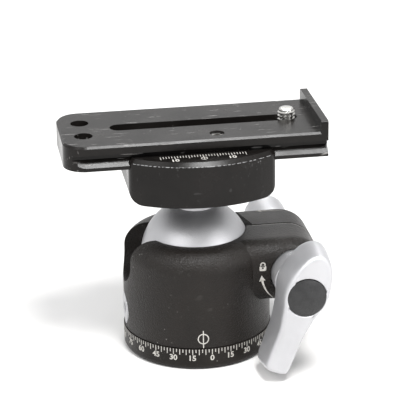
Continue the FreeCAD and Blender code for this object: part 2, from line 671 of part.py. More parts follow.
def clamp_lever():
    """Cam lever behind the rear jaw, with a fork round the draw bolt's eye."""
    bottom = GUIDE_PIN_Z - CAM_HEIGHT / 2
    body = Part.Face(cam_outline(bottom)).extrude(Z_AXIS * CAM_HEIGHT)
    inner = JAW_BACK + FREE_GAP
    arm_z = GUIDE_PIN_Z - ARM_HEIGHT / 2
    arm = box((-ARM_LENGTH, -DRAW_EYE_R), (inner, inner + ARM_THICKNESS), (arm_z, arm_z + ARM_HEIGHT))
    tip = [edge for edge in arm.Edges if edge.BoundBox.XMax < -ARM_LENGTH + RUNNING_GAP and edge.BoundBox.ZLength > 1]
    body = body.fuse(arm.makeFillet(ARM_THICKNESS / 2 - RUNNING_GAP, tip))
    slot_r = DRAW_EYE_R + FREE_GAP
    slot_z = GUIDE_PIN_Z - DRAW_EYE_THICKNESS / 2 - SLIDE_GAP
    slot_height = DRAW_EYE_THICKNESS + 2 * SLIDE_GAP
    slot = box((-slot_r, 2 * CAM_R), (PIVOT_Y - 2 * CAM_R, PIVOT_Y + slot_r), (slot_z, slot_z + slot_height))
    body = body.cut(slot)
    return body.cut(cylinder(PIVOT_R + RUNNING_GAP, CAM_HEIGHT, Vector(0, PIVOT_Y, bottom)))


def lever_section(y, width, length):
    """Closed smooth outline of the lock lever at one depth, tip straight down."""
    half = [
        (LEVER_SHOULDER_HALF, LEVER_TOP_REACH * 0.74),
        (LEVER_HUB_HALF, LEVER_TOP_REACH * 0.1),
        (LEVER_WAIST_HALF, -LEVER_TIP_REACH * 0.5),
        (LEVER_TIP_HALF, -LEVER_TIP_REACH * 0.84),
    ]
    right = [(x, z) for x, z in half]
    left = [(-x, z) for x, z in reversed(half)]
    ring = [(0, LEVER_TOP_REACH)] + right + [(0, -LEVER_TIP_REACH)] + left
    curve = Part.BSplineCurve()
    points = [Vector(BOLT_X + x * width, -y, BOLT_Z + z * length) for x, z in ring]
    curve.interpolate(Points=points, PeriodicFlag=True)
    return Part.Wire(curve.toShape())


def lock_lever():
    """Tapered lever with a hub that sits in the boss."""
    sections = [
        lever_section(LEVER_BACK, LEVER_BACK_SHARE, LEVER_BACK_SHARE),
        lever_section(LEVER_BACK + LEVER_BACK_BEVEL, 1.0, 1.0),
        lever_section(LEVER_FRONT - LEVER_FRONT_BEVEL, (1 + LEVER_FRONT_WIDTH) / 2, (1 + LEVER_FRONT_LENGTH) / 2),
        lever_section(LEVER_FRONT, LEVER_FRONT_WIDTH, LEVER_FRONT_LENGTH),
    ]
    body = Part.makeLoft(sections, True, False)
    body.rotate(on_bolt_line(0), Y_AXIS, LEVER_TURN)
    hub_length = LEVER_BACK + LEVER_BACK_BEVEL - HUB_BACK
    body = body.fuse(cylinder(HUB_R, hub_length, on_bolt_line(-HUB_BACK), -Y_AXIS))
    body = body.cut(cylinder(BOLT_R + RUNNING_GAP, LEVER_FRONT, on_bolt_line(-HUB_BACK), -Y_AXIS))
    body = body.cut(cylinder(LEVER_SCREW_HEAD_R + RUNNING_GAP, LEVER_THICKNESS, on_bolt_line(-LEVER_SCREW_SEAT), -Y_AXIS))
    return body.cut(cylinder(CAP_R + RUNNING_GAP, LEVER_THICKNESS, on_bolt_line(-CAP_FLOOR), -Y_AXIS))


def lever_cap():
    """Domed cap pressed into the lever's front."""
    dome_r = (CAP_R ** 2 + CAP_RISE ** 2) / (2 * CAP_RISE)
    body = cylinder(CAP_R, CAP_SINK + CAP_RISE, on_bolt_line(-CAP_FLOOR), -Y_AXIS)
    centre = on_bolt_line(-(LEVER_FRONT + CAP_RISE - dome_r))
    return body.common(Part.makeSphere(dome_r, centre))


def lever_screw():
    """Socket-head screw that draws the lever onto the bolt."""
    body = cylinder(LEVER_SCREW_HEAD_R, LEVER_SCREW_HEAD_HEIGHT, on_bolt_line(-LEVER_SCREW_SEAT), -Y_AXIS)
    body = body.fuse(cylinder(LEVER_SCREW_R, LEVER_SCREW_LENGTH, on_bolt_line(-LEVER_SCREW_SEAT), Y_AXIS))
    face = on_bolt_line(-LEVER_SCREW_SEAT - LEVER_SCREW_HEAD_HEIGHT)
    return body.cut(hexagon(LEVER_SCREW_R * 2, LEVER_SCREW_HEAD_HEIGHT / 2, face, Y_AXIS))


def clamp_bolt():
    """Bolt that pulls the two ears of the housing together."""
    body = cylinder(BOLT_R, BOLT_FRONT + BOLT_BACK, on_bolt_line(-BOLT_FRONT), Y_AXIS)
    return body.cut(cylinder(LEVER_SCREW_R + RUNNING_GAP, LEVER_SCREW_LENGTH, on_bolt_line(-BOLT_FRONT), Y_AXIS))


def drag_stud():
    return cylinder(BOLT_R, KNOB_STUD_LENGTH, on_bolt_line(STUD_START), Y_AXIS)


def drag_knob():
    """Smooth round knob at the back that sets the ball's drag."""
    back = BOSS_BACK + WASHER_THICKNESS + SLIDE_GAP
    body = cylinder(KNOB_R, KNOB_END - KNOB_START, on_bolt_line(KNOB_START), Y_AXIS)
    end = [edge for edge in body.Edges if edge.BoundBox.YMin > KNOB_END - RUNNING_GAP]
    start = [edge for edge in body.Edges if edge.BoundBox.YMax < KNOB_START + RUNNING_GAP]
    body = body.makeFillet(KNOB_EDGE_R, end)
    start = [edge for edge in body.Edges if edge.BoundBox.YMax < KNOB_START + RUNNING_GAP]
    body = body.makeFillet(KNOB_EDGE_R / 3, start)
    body = body.fuse(cylinder(KNOB_NECK_R, KNOB_START + KNOB_EDGE_R - back, on_bolt_line(back), Y_AXIS))
    hole_end = STUD_START + KNOB_STUD_LENGTH + RUNNING_GAP
    return body.cut(cylinder(BOLT_R + RUNNING_GAP, hole_end - back, on_bolt_line(back), Y_AXIS))


def groove_cutter(side):
    """Cutter for one dovetail groove, with the round end that the mill leaves."""
    outside = PLATE_HALF + 1
    roof_slope = GROOVE_ROOF_SLOPE / GROOVE_DEPTH
    profile = [
        (GROOVE_HALF, GROOVE_FLOOR),
        (GROOVE_HALF, GROOVE_FLOOR + GROOVE_FLAT),
        (outside, GROOVE_CEILING + roof_slope),
        (outside, LIP_TOP - 1),
    ]
    corners = [Vector(GROOVE_START, side * y, z) for y, z in profile]
    straight = prism(corners, X_AXIS * (PLATE_RIGHT + 1 - GROOVE_START))
    mill_y = GROOVE_HALF + GROOVE_CUTTER_R
    round_end = turned([(mill_y - y, z) for y, z in profile] + [(0, LIP_TOP - 1), (0, GROOVE_CEILING + roof_slope)][::-1])
    round_end.translate(Vector(GROOVE_START, side * mill_y, 0))
    return straight.fuse(round_end)


def long_hole(left, right, half, bottom, top):
    """Cutter for a slot along X with round ends at left and right."""
    height = top - bottom
    body = box((left + half, right - half), (-half, half), (bottom, top))
    for x in (left + half, right - half):
        body = body.fuse(cylinder(half, height, Vector(x, 0, bottom)))
    return body


def stop_screws(gap):
    """End-stop screws under the plate, grown by a gap for their holes."""
    shapes = []
    for x in STOP_X:
        start = Vector(x, STOP_Y, PLATE_BOTTOM - STOP_SCREW_REACH)
        shapes.append(cylinder(STOP_SCREW_R + gap, STOP_SCREW_LENGTH + gap, start))
    return Part.Compound(shapes)


def camera_plate():
    """Dovetail plate with a long slot and an upright flange at its right end."""
    height = PLATE_THICKNESS
    body = box((PLATE_LEFT, PLATE_RIGHT), (-PLATE_HALF, PLATE_HALF), (PLATE_BOTTOM, PLATE_TOP))
    corners = [
        edge for edge in body.Edges
        if edge.BoundBox.ZLength > height - RUNNING_GAP and edge.BoundBox.XMax < 0
    ]
    body = body.makeFillet(PLATE_CORNER_R, corners)
    rim = [
        edge for edge in body.Edges
        if edge.BoundBox.ZMin > PLATE_TOP - RUNNING_GAP and edge.BoundBox.XMin < PLATE_RIGHT - RUNNING_GAP
    ]
    body = body.makeChamfer(PLATE_EDGE, rim)
    flange_x = PLATE_RIGHT - FLANGE_THICKNESS
    flange = box((flange_x, PLATE_RIGHT), (-PLATE_HALF, PLATE_HALF), (PLATE_BOTTOM, PLATE_TOP + FLANGE_RISE))
    tips = [
        edge for edge in flange.Edges
        if edge.BoundBox.ZMin > PLATE_TOP and edge.BoundBox.YLength < RUNNING_GAP
    ]
    body = body.fuse(flange.makeFillet(FLANGE_EDGE_R, tips))
    body = body.cut(groove_cutter(-1)).cut(groove_cutter(1))
    body = body.cut(long_hole(SLOT_LEFT, SLOT_RIGHT, SLOT_HALF, PLATE_BOTTOM, PLATE_TOP + 1))
    spread = COUNTERSLOT_HALF - SLOT_HALF
    body = body.cut(long_hole(SLOT_LEFT - spread, SLOT_RIGHT + spread, COUNTERSLOT_HALF, PLATE_BOTTOM - 1, COUNTERSLOT_TOP))
    for side in (-1, 1):
        body = body.cut(cylinder(HOLE_R, height, Vector(HOLE_X, side * HOLE_Y, PLATE_BOTTOM)))
    depth = SOCKET_SCREW_SINK + SOCKET_SCREW_LENGTH + RUNNING_GAP
    hole = Vector(SOCKET_SCREW_X, SOCKET_SCREW_Y, PLATE_TOP - depth)
    body = body.cut(cylinder(SOCKET_SCREW_R + RUNNING_GAP, depth, hole))
    return body.cut(stop_screws(RUNNING_GAP))


def plate_socket_screw():
    """Small set screw sunk in the plate's top."""
    start = Vector(SOCKET_SCREW_X, SOCKET_SCREW_Y, PLATE_TOP - SOCKET_SCREW_SINK - SOCKET_SCREW_LENGTH)
    body = cylinder(SOCKET_SCREW_R, SOCKET_SCREW_LENGTH, start)
    top = start + Z_AXIS * SOCKET_SCREW_LENGTH
    return body.cut(hexagon(SOCKET_SCREW_SOCKET, SOCKET_SCREW_LENGTH / 2, top, -Z_AXIS))


def plate_stop_screws():
    return stop_screws(0)


def screw_keeper():
    """Washer round the camera screw's neck that slides along the plate's slot."""
    start = Vector(CAMERA_SCREW_X, 0, COUNTERSLOT_TOP - SLIDE_GAP - KEEPER_THICKNESS)
    return tube(CAMERA_SCREW_HEAD_R, CAMERA_SCREW_NECK_R + RUNNING_GAP, KEEPER_THICKNESS, start)


def camera_screw():
    """Screw with a waisted neck, standing up through the plate's slot."""
    bottom = PLATE_BOTTOM + FREE_GAP
    tip = PLATE_TOP + CAMERA_SCREW_PROUD
    body = cylinder(CAMERA_SCREW_HEAD_R, CAMERA_SCREW_HEAD_HEIGHT, Vector(CAMERA_SCREW_X, 0, bottom))
    body = body.fuse(cylinder(CAMERA_SCREW_NECK_R, tip - bottom, Vector(CAMERA_SCREW_X, 0, bottom)))
    start = PLATE_TOP + SLIDE_GAP
    thread = cylinder(CAMERA_SCREW_R, tip - start, Vector(CAMERA_SCREW_X, 0, start))
    end = [edge for edge in thread.Edges if edge.BoundBox.ZMin > tip - RUNNING_GAP]
    body = body.fuse(thread.makeChamfer(CAMERA_SCREW_TIP, end))
    runout = Vector(CAMERA_SCREW_X, 0, start - CAMERA_SCREW_RUNOUT)
    body = body.fuse(cylinder(CAMERA_SCREW_RUNOUT_R, CAMERA_SCREW_RUNOUT, runout))
    socket = Vector(CAMERA_SCREW_X, 0, bottom)
    return body.cut(hexagon(CAMERA_SCREW_SOCKET, CAMERA_SCREW_HEAD_HEIGHT / 2, socket, Z_AXIS))


PIECES = {
    "pan_base": pan_base,
    "tripod_thread_bush": tripod_thread_bush,
    "pan_glide_ring": pan_glide_ring,
    "pan_spindle": pan_spindle,
    "spindle_screws": lambda: spindle_screw(0),
    "housing": housing,
    "retaining_ring": retaining_ring,
    "bearing_plate": bearing_plate,
    "seat_spring": seat_spring,
    "lower_seat": lower_seat,
    "clamp_nut": clamp_nut,
    "lever_washer": lever_washer,
    "knob_washer": knob_washer,
    "pan_brake_shoe": pan_brake_shoe,
    "pan_lock_screw": pan_lock_screw,
    "drag_pad": drag_pad,
    "pad_spring": pad_spring,
    "lock_lever": lock_lever,
    "lever_cap": lever_cap,
    "lever_screw": lever_screw,
    "clamp_bolt": clamp_bolt,
    "drag_stud": drag_stud,
    "drag_knob": drag_knob,
    "ball": ball,
    "clamp_screw": clamp_screw,
    "clamp_body": clamp_body,
    "moving_jaw": moving_jaw,
    "jaw_guide_pins": jaw_guide_pins,
    "jaw_springs": jaw_springs,
    "draw_bolt": draw_bolt,
    "pivot_pin": pivot_pin,
    "clamp_lever": clamp_lever,
    "camera_plate": camera_plate,
    "plate_socket_screw": plate_socket_screw,
    "plate_stop_screws": plate_stop_screws,
    "screw_keeper": screw_keeper,
    "camera_screw": camera_screw,
}


def main():
    os.makedirs("parts", exist_ok=True)
    for name, make in PIECES.items():
        shape = make()
        shape.exportStep("parts/" + name + ".step")
        print(name, "solids", len(shape.Solids), "volume", round(shape.Volume, 1))


main()
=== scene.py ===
import math

import bpy
import numpy as np
from bpy.props import FloatProperty, FloatVectorProperty, IntProperty, PointerProperty
from mathutils import Matrix, Vector


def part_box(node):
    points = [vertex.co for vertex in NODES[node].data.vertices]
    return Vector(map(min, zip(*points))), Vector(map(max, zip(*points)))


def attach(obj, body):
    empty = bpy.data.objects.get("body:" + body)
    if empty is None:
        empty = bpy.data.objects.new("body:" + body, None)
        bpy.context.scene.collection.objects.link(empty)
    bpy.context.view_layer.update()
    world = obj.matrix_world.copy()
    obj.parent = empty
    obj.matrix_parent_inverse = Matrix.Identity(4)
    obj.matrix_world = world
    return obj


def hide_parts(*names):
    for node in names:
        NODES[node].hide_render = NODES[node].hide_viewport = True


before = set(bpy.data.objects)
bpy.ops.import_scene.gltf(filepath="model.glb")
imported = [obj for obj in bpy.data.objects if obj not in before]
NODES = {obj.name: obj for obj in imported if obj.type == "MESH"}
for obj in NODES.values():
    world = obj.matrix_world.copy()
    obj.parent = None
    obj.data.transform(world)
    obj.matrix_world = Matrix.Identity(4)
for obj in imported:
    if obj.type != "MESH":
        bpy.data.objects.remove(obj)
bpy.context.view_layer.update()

bl_info = {
    "name": "Tripod Ball Head",
    "version": (1, 0, 0),
    "blender": (4, 5, 0),
    "location": "View3D > Sidebar > Ball Head",
    "description": "Finishes, markings and detailed pieces of a tripod ball head",
    "category": "Object",
}

# Places on the frame, in metres

MM = 0.001
BOLT_X = 0.0323             # line of the lever's bolt, along Y
BOLT_Z = 0.0323
BOSS_FACE_Y = -0.0205       # front of the clamping boss
BOSS_TOP_Z = 0.044
LEDGE_Z = 0.0792            # top of the clamp's front jaw
CAMERA_SCREW_X = 0.0334

# Lettering

DIGIT_SHARE = 0.73          # height of a digit over the font's size
DIGIT_WEIGHT = 0.035        # how much bolder a digit is drawn, over its height
DIGIT_SPREAD = 1.04         # how much wider the degree scale's numbers are drawn


# Surfaces

def mesh_object(name, points, faces, finish, body, smooth=True):
    """Mesh object from arrays of points (n, 3) in metres and of faces, riding on a body."""
    mesh = bpy.data.meshes.new(name)
    mesh.from_pydata(np.asarray(points, float).tolist(), [], [list(map(int, f)) for f in faces])
    mesh.validate()
    mesh.update()
    if smooth:
        mesh.polygons.foreach_set("use_smooth", np.ones(len(mesh.polygons), bool))
        mesh.set_sharp_from_angle(angle=math.radians(35))
    obj = bpy.data.objects.new(name, mesh)
    bpy.context.scene.collection.objects.link(obj)
    mesh.materials.append(finish)
    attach(obj, body)
    return obj


def grid_faces(rows, columns):
    """Quads of a grid of rows by columns points, joined round the columns."""
    i, j = np.meshgrid(np.arange(rows - 1), np.arange(columns), indexing="ij")
    k = (j + 1) % columns
    low, high = i * columns, (i + 1) * columns
    return np.stack([low + j, low + k, high + k, high + j], -1).reshape(-1, 4)


def capped_rings(rings):
    """Closed skin over rings (rows, columns, 3): each end ring is closed to its own centre point.

    Row i, column j is joined to its neighbours, and the two poles are the means of the end rings.
    """
    rows, columns, _ = rings.shape
    points = np.concatenate([rings.reshape(-1, 3), rings[:1].mean(1), rings[-1:].mean(1)])
    faces = [list(q) for q in grid_faces(rows, columns)]
    step = np.arange(columns)
    first, last = rows * columns, rows * columns + 1
    faces += [[first, (j + 1) % columns, j] for j in step]
    base = (rows - 1) * columns
    faces += [[last, base + j, base + (j + 1) % columns] for j in step]
    return points, faces


def looped_rings(rings):
    """Closed skin over rings (rows, columns, 3), the last joined to the first, as round a bored piece."""
    rows, columns, _ = rings.shape
    around = np.arange(columns)
    after = (around + 1) % columns
    last = (rows - 1) * columns
    seam = np.stack([last + around, last + after, after, around], -1)
    return rings.reshape(-1, 3), np.concatenate([grid_faces(rows, columns), seam])


def boxes(corners):
    """Closed boxes from corners (n, 8, 3).

    Corners 0 to 3 go round the bottom, anticlockwise from above, and 4 to 7 stand over them.
    """
    sides = np.array([[3, 2, 1, 0], [4, 5, 6, 7], [0, 1, 5, 4], [1, 2, 6, 5], [2, 3, 7, 6], [3, 0, 4, 7]])
    faces = sides[None] + 8 * np.arange(len(corners))[:, None, None]
    return corners.reshape(-1, 3), faces.reshape(-1, 4)


def bars(x0, x1, y0, y1, z0, z1):
    """Corners (n, 8, 3) of upright boxes from arrays of their limits."""
    limits = [np.atleast_1d(v).astype(float) for v in (x0, x1, y0, y1, z0, z1)]
    x0, x1, y0, y1, z0, z1 = np.broadcast_arrays(*limits)
    corners = ((x0, y0, z0), (x1, y0, z0), (x1, y1, z0), (x0, y1, z0))
    low = np.stack([np.stack(p, -1) for p in corners], 1)
    high = low.copy()
    high[..., 2] = z1[:, None]
    return np.concatenate([low, high], 1)


def wrap(points, radius, turn):
    """Bends flat points (x along, y up, z out) round Z.

    The angle from the front is turn + x / radius, the height is y and the distance from Z is radius + z.
    """
    angle = turn + points[:, 0] / radius
    out = radius + points[:, 2]
    return np.stack([out * np.sin(angle), -out * np.cos(angle), points[:, 1]], 1)


def facing_front(points, y):
    """Turns flat points (x right, y up, z out) to face -Y at a depth y."""
    return np.stack([points[:, 0], y - points[:, 2], points[:, 1]], 1)


def join(parts):
    """One array of points and one list of faces from several pairs."""
    points, faces, offset = [], [], 0
    for p, f in parts:
        points.append(np.asarray(p, float))
        faces += [[int(v) + offset for v in face] for face in f]
        offset += len(p)
    return np.concatenate(points), faces


def letters(text, height, thickness):
    """Flat mesh of a few characters, centred on the origin, as points (x, y, z) and faces."""
    curve = bpy.data.curves.new("letters", "FONT")
    curve.body = text
    curve.align_x = "CENTER"
    curve.align_y = "CENTER"
    curve.size = height / DIGIT_SHARE
    curve.extrude = thickness / 2
    curve.offset = DIGIT_WEIGHT * height
    curve.resolution_u = 3
    holder = bpy.data.objects.new("letters", curve)
    bpy.context.scene.collection.objects.link(holder)
    bpy.context.view_layer.update()
    mesh = bpy.data.meshes.new_from_object(holder.evaluated_get(bpy.context.evaluated_depsgraph_get()))
    points = np.zeros(len(mesh.vertices) * 3)
    mesh.vertices.foreach_get("co", points)
    points = points.reshape(-1, 3)
    points[:, :2] -= (points[:, :2].max(0) + points[:, :2].min(0)) / 2
    faces = [list(p.vertices) for p in mesh.polygons]
    bpy.data.objects.remove(holder)
    bpy.data.meshes.remove(mesh)
    bpy.data.curves.remove(curve)
    return points, faces


def straight_line(start, end, count):
    """Evenly spaced points (count, 2) from start to end."""
    return np.stack([np.linspace(start[0], end[0], count), np.linspace(start[1], end[1], count)], 1)


def bolt_arc(radius, start, end, count):
    """Points (count, 2) on a circle about the bolt's line, between two angles in degrees from +X."""
    turn = np.radians(np.linspace(start, end, count))
    return np.stack([BOLT_X + radius * np.cos(turn), BOLT_Z + radius * np.sin(turn)], 1)


def flat_band(centre_line, half_width, low, high):
    """Closed strip of a plane: a line of points (n, 2), a half width at each, between two heights.

    Each point goes out along the line's normal by the half width on both sides.
    """
    line = np.asarray(centre_line, float)
    tangent = np.gradient(line, axis=0)
    tangent /= np.linalg.norm(tangent, axis=1)[:, None]
    normal = np.stack([-tangent[:, 1], tangent[:, 0]], 1) * np.asarray(half_width)[:, None]
    left, right = line + normal, line - normal
    edges = ((right, low), (right, high), (left, high), (left, low))
    ring = np.stack([np.column_stack([side, np.full(len(line), z)]) for side, z in edges], 1)
    return capped_rings(ring)


def flat_ring(radius, half_width, low, high, count=48):
    """Closed flat ring in the XY plane: a rectangle carried round a circle."""
    turn = np.linspace(0, 2 * np.pi, count, endpoint=False)
    radii = np.array([radius - half_width, radius + half_width, radius + half_width, radius - half_width])
    heights = np.broadcast_to(np.array([low, low, high, high]), (count, 4))
    rows = np.stack([radii * np.cos(turn)[:, None], radii * np.sin(turn)[:, None], heights], -1)
    points, faces = looped_rings(rows)
    return points, faces[:, ::-1]


def closed_curve(control, count):
    """Closed smooth curve through control points (n, 2): Catmull-Rom, p(t) from the four nearest points."""
    control = np.asarray(control, float)
    n = len(control)
    t = np.linspace(0, n, count, endpoint=False)
    i = t.astype(int)
    f = (t - i)[:, None]
    a, b, c, d = (control[(i + k) % n] for k in (-1, 0, 1, 2))
    square, cube = 2 * a - 5 * b + 4 * c - d, 3 * b - a - 3 * c + d
    return 0.5 * ((2 * b) + (c - a) * f + square * f ** 2 + cube * f ** 3)


def lathe(profile, count, centre_x=0.0):
    """Rings from rows (radius or array of radii round the turn, height) about an upright axis."""
    turn = np.linspace(0, 2 * np.pi, count, endpoint=False)
    rows = []
    for radius, height in profile:
        radius = np.broadcast_to(np.asarray(radius, float), (count,))
        rows.append(np.stack([radius * np.cos(turn), radius * np.sin(turn), np.full(count, height)], 1))
    return np.stack(rows) + np.array([centre_x, 0.0, 0.0])


def thread_rows(core, crest, pitch, low, high, count):
    """Rows of a screw thread, twelve to a turn, faded at both ends.

    The radius is core + (crest - core) * tooth, where the tooth is a trapezium of height / pitch - turn, with
    the turn as a share of a whole one.
    """
    turn = np.linspace(0, 1, count, endpoint=False)
    crest_reach, flank_slope = 1.35, 4.608
    fade_length, fade_start = 0.6 * pitch, 0.15
    rows = []
    for z in np.arange(low, high + 1e-9, pitch / 12):
        phase = (z / pitch - turn) % 1.0
        tooth = np.clip(crest_reach - flank_slope * np.abs(phase - 0.5), 0, 1)
        fade = np.clip(min(z - low, high - z) / fade_length + fade_start, 0, 1)
        rows.append((core + (crest - core) * tooth * fade, z))
    return rows


# Shader nodes

def fill(tree, socket, value):
    """Links a socket to the socket that is given as its value, or sets it to the value."""
    if isinstance(value, bpy.types.NodeSocket):
        tree.links.new(value, socket)
    else:
        socket.default_value = value


def node(tree, kind, settings=None, **inputs):
    """Node with settings on it and values or links on its sockets, by name or by number as _0, _1."""
    made = tree.nodes.new(kind)
    for key, value in (settings or {}).items():
        setattr(made, key, value)
    for key, value in inputs.items():
        numbered = key[0] == "_" and key[1:].isdigit()
        fill(tree, made.inputs[int(key[1:]) if numbered else key.replace("_", " ")], value)
    return made


def group(name, inputs, outputs):
    """New shader node group with float inputs {name: default} and float outputs."""
    tree = bpy.data.node_groups.new(name, "ShaderNodeTree")
    for label, value in inputs.items():
        socket = tree.interface.new_socket(label, in_out="INPUT", socket_type="NodeSocketFloat")
        socket.default_value = value
    for label in outputs:
        tree.interface.new_socket(label, in_out="OUTPUT", socket_type="NodeSocketFloat")
    return tree, tree.nodes.new("NodeGroupInput").outputs, tree.nodes.new("NodeGroupOutput").inputs


def object_place(tree):
    """Position on the object."""
    return node(tree, "ShaderNodeTexCoord").outputs["Object"]


def noise(tree, place, scale, detail, **more):
    """Noise texture's value."""
    return node(tree, "ShaderNodeTexNoise", Vector=place, Scale=scale, Detail=detail, **more).outputs[0]


def math_node(tree, operation, first, second=0.0, clamp=False):
    """Result of one sum on two values."""
    settings = {"operation": operation, "use_clamp": clamp}
    return node(tree, "ShaderNodeMath", settings, _0=first, _1=second).outputs[0]


def ramp(tree, value, low, high):
    """Value from low to high mapped smoothly to 0 to 1."""
    settings = {"interpolation_type": "SMOOTHSTEP"}
    return node(tree, "ShaderNodeMapRange", settings, Value=value, From_Min=low, From_Max=high).outputs[0]


def mix_colour(tree, mask, first, second):
    """First colour where the mask is 0, second where it is 1."""
    return node(tree, "ShaderNodeMix", {"data_type": "RGBA"}, _0=mask, _6=first, _7=second).outputs[2]


def mix_value(tree, mask, first, second):
    """First value where the mask is 0, second where it is 1."""
    return node(tree, "ShaderNodeMix", {"data_type": "FLOAT"}, _0=mask, _2=first, _3=second).outputs[0]


def rgb(colour, share=1.0):
    """Socket colour from three numbers, all times a share."""
    return (*[share * c for c in colour], 1.0)


# Shared effects

def make_grain():
    """Fine even grain of blasted and anodised metal, and a coarser cloud."""
    tree, start, end = group("fine_grain", {"Scale": 2500.0, "Cloud Scale": 60.0}, ["Grain", "Cloud"])
    place = object_place(tree)
    fine = noise(tree, place, start["Scale"], 2.0)
    cloud = noise(tree, place, start["Cloud Scale"], 4.0, Roughness=0.6)
    tree.links.new(ramp(tree, fine, 0.25, 0.75), end["Grain"])
    tree.links.new(ramp(tree, cloud, 0.3, 0.7), end["Cloud"])
    return tree


def make_scratches():
    """Hairline scratches: noise stretched along two slanting lines, cut to its peaks and kept in patches."""
    tree, start, end = group("scratches", {"Scale": 90.0, "Amount": 0.5}, ["Scratch"])
    place = object_place(tree)
    peaks = []
    for turn, shift in ((0.35, 0.0), (-0.9, 4.0)):
        turned = node(tree, "ShaderNodeMapping", Vector=place, Rotation=(0.2, 0.15, turn),
                      Location=(shift, shift, 0), Scale=(1.0, 28.0, 6.0)).outputs[0]
        peaks.append(ramp(tree, noise(tree, turned, start["Scale"], 1.0), 0.68, 0.74))
    total = math_node(tree, "ADD", *peaks, True)
    patches = ramp(tree, noise(tree, place, 130.0, 2.0), 0.48, 0.62)
    total = math_node(tree, "MULTIPLY", total, patches)
    tree.links.new(math_node(tree, "MULTIPLY", total, start["Amount"]), end["Scratch"])
    return tree


def make_specks():
    """Specks of dust and tiny chips: the middles of a Voronoi pattern's cells, kept where a noise is high."""
    tree, start, end = group("dust_specks", {"Scale": 420.0, "Size": 0.12, "Amount": 0.5}, ["Speck"])
    place = object_place(tree)
    cells = node(tree, "ShaderNodeTexVoronoi", Vector=place, Scale=start["Scale"]).outputs["Distance"]
    near = math_node(tree, "LESS_THAN", cells, start["Size"])
    where = ramp(tree, noise(tree, place, 70.0, 3.0), 0.52, 0.66)
    speck = math_node(tree, "MULTIPLY", near, where)
    tree.links.new(math_node(tree, "MULTIPLY", speck, start["Amount"]), end["Speck"])
    return tree


def make_edge_line():
    """Pale line along an edge, a painted highlight (on some edges partly wear): 1 where a coordinate is within
    a width of a place, broken up by noise.
    """
    inputs = {"Coordinate": 0.0, "Place": 0.0, "Width": 0.0003, "Breakup": 0.5}
    tree, start, end = group("edge_line", inputs, ["Line"])
    away = math_node(tree, "ABSOLUTE", math_node(tree, "SUBTRACT", start["Coordinate"], start["Place"]))
    near = math_node(tree, "SUBTRACT", 1.0, math_node(tree, "DIVIDE", away, start["Width"]), True)
    grit = noise(tree, object_place(tree), 1400.0, 3.0)
    broken = math_node(tree, "GREATER_THAN", grit, start["Breakup"])
    tree.links.new(math_node(tree, "MULTIPLY", near, broken), end["Line"])
    return tree


MAKERS = {
    "fine_grain": make_grain,
    "scratches": make_scratches,
    "dust_specks": make_specks,
    "edge_line": make_edge_line,
}
GROUPS = {}


def effect(tree, name, **inputs):
    """Outputs of a shared effect placed in a material with its own values."""
    if name not in GROUPS:
        GROUPS[name] = MAKERS[name]()
    made = tree.nodes.new("ShaderNodeGroup")
    made.node_tree = GROUPS[name]
    for key, value in inputs.items():
        fill(tree, made.inputs[key.replace("_", " ")], value)
    return made.outputs


# Finishes

MATERIALS = {}


def material(name):
    """A finish that was made before."""
    if name not in MATERIALS:
        raise RuntimeError(f"the finish {name} is used before it is made")
    return MATERIALS[name]


def new_finish(name, metallic, specular=0.5):
    """New material, kept under its name, with its node tree and its shader's inputs."""
    made = bpy.data.materials.new(name)
    made.use_nodes = True
    tree = made.node_tree
    tree.nodes.clear()
    shader = tree.nodes.new("ShaderNodeBsdfPrincipled")
    shader.inputs["Metallic"].default_value = metallic
    shader.inputs["Specular IOR Level"].default_value = specular
    out = tree.nodes.new("ShaderNodeOutputMaterial")
    tree.links.new(shader.outputs[0], out.inputs[0])
    MATERIALS[name] = made
    return tree, shader.inputs


def bump(tree, height, distance):
    """Normal from a height."""
    return node(tree, "ShaderNodeBump", Height=height, Distance=distance, Strength=1.0).outputs[0]


def worn_line(tree, place, line):
    """Painted highlight along an edge, partly wear on some edges, from a line (axis, place, width, breakup,
    low limit and high limit on X).
    """
    axis, where, width, breakup, low, high = line
    found = effect(tree, "edge_line", Coordinate=place[axis], Place=where, Width=width, Breakup=breakup)[0]
    after = math_node(tree, "GREATER_THAN", place["X"], low)
    before = math_node(tree, "LESS_THAN", place["X"], high)
    return math_node(tree, "MULTIPLY", found, math_node(tree, "MULTIPLY", after, before))


def metal_finish(name, dull, bright, rough, specular, grain_scale, grain_depth, scratch, speck, wear_and_highlight,
                 metallic=0.0, scratch_scale=90.0, rough_spread=0.12, lines=()):
    """Metal with grain in its height, cloudy colour and gloss, and a pale colour for scratches, specks and
    edge lines; the edge lines are painted highlights, partly wear.
    """
    tree, shader = new_finish(name, metallic, specular)
    grain = effect(tree, "fine_grain", Scale=grain_scale)
    scratches = effect(tree, "scratches", Amount=scratch, Scale=scratch_scale)[0]
    specks = effect(tree, "dust_specks", Amount=speck)[0]
    tone = mix_colour(tree, grain["Cloud"], rgb(dull), rgb(bright))
    wear_and_highlight_marks = math_node(tree, "ADD", scratches, specks, True)
    place = node(tree, "ShaderNodeSeparateXYZ", Vector=object_place(tree)).outputs
    # Pale edge lines added here are painted highlights, partly wear, on top of the real scratches and specks.
    for line in lines:
        wear_and_highlight_marks = math_node(tree, "ADD", wear_and_highlight_marks, worn_line(tree, place, line), True)
    tree.links.new(mix_colour(tree, wear_and_highlight_marks, tone, rgb(wear_and_highlight)), shader["Base Color"])
    gloss = mix_value(tree, grain["Cloud"], rough - rough_spread / 2, rough + rough_spread / 2)
    tree.links.new(mix_value(tree, wear_and_highlight_marks, gloss, 0.4), shader["Roughness"])
    height = math_node(tree, "SUBTRACT", grain["Grain"], math_node(tree, "MULTIPLY", scratches, 1.5))
    tree.links.new(bump(tree, height, grain_depth), shader["Normal"])


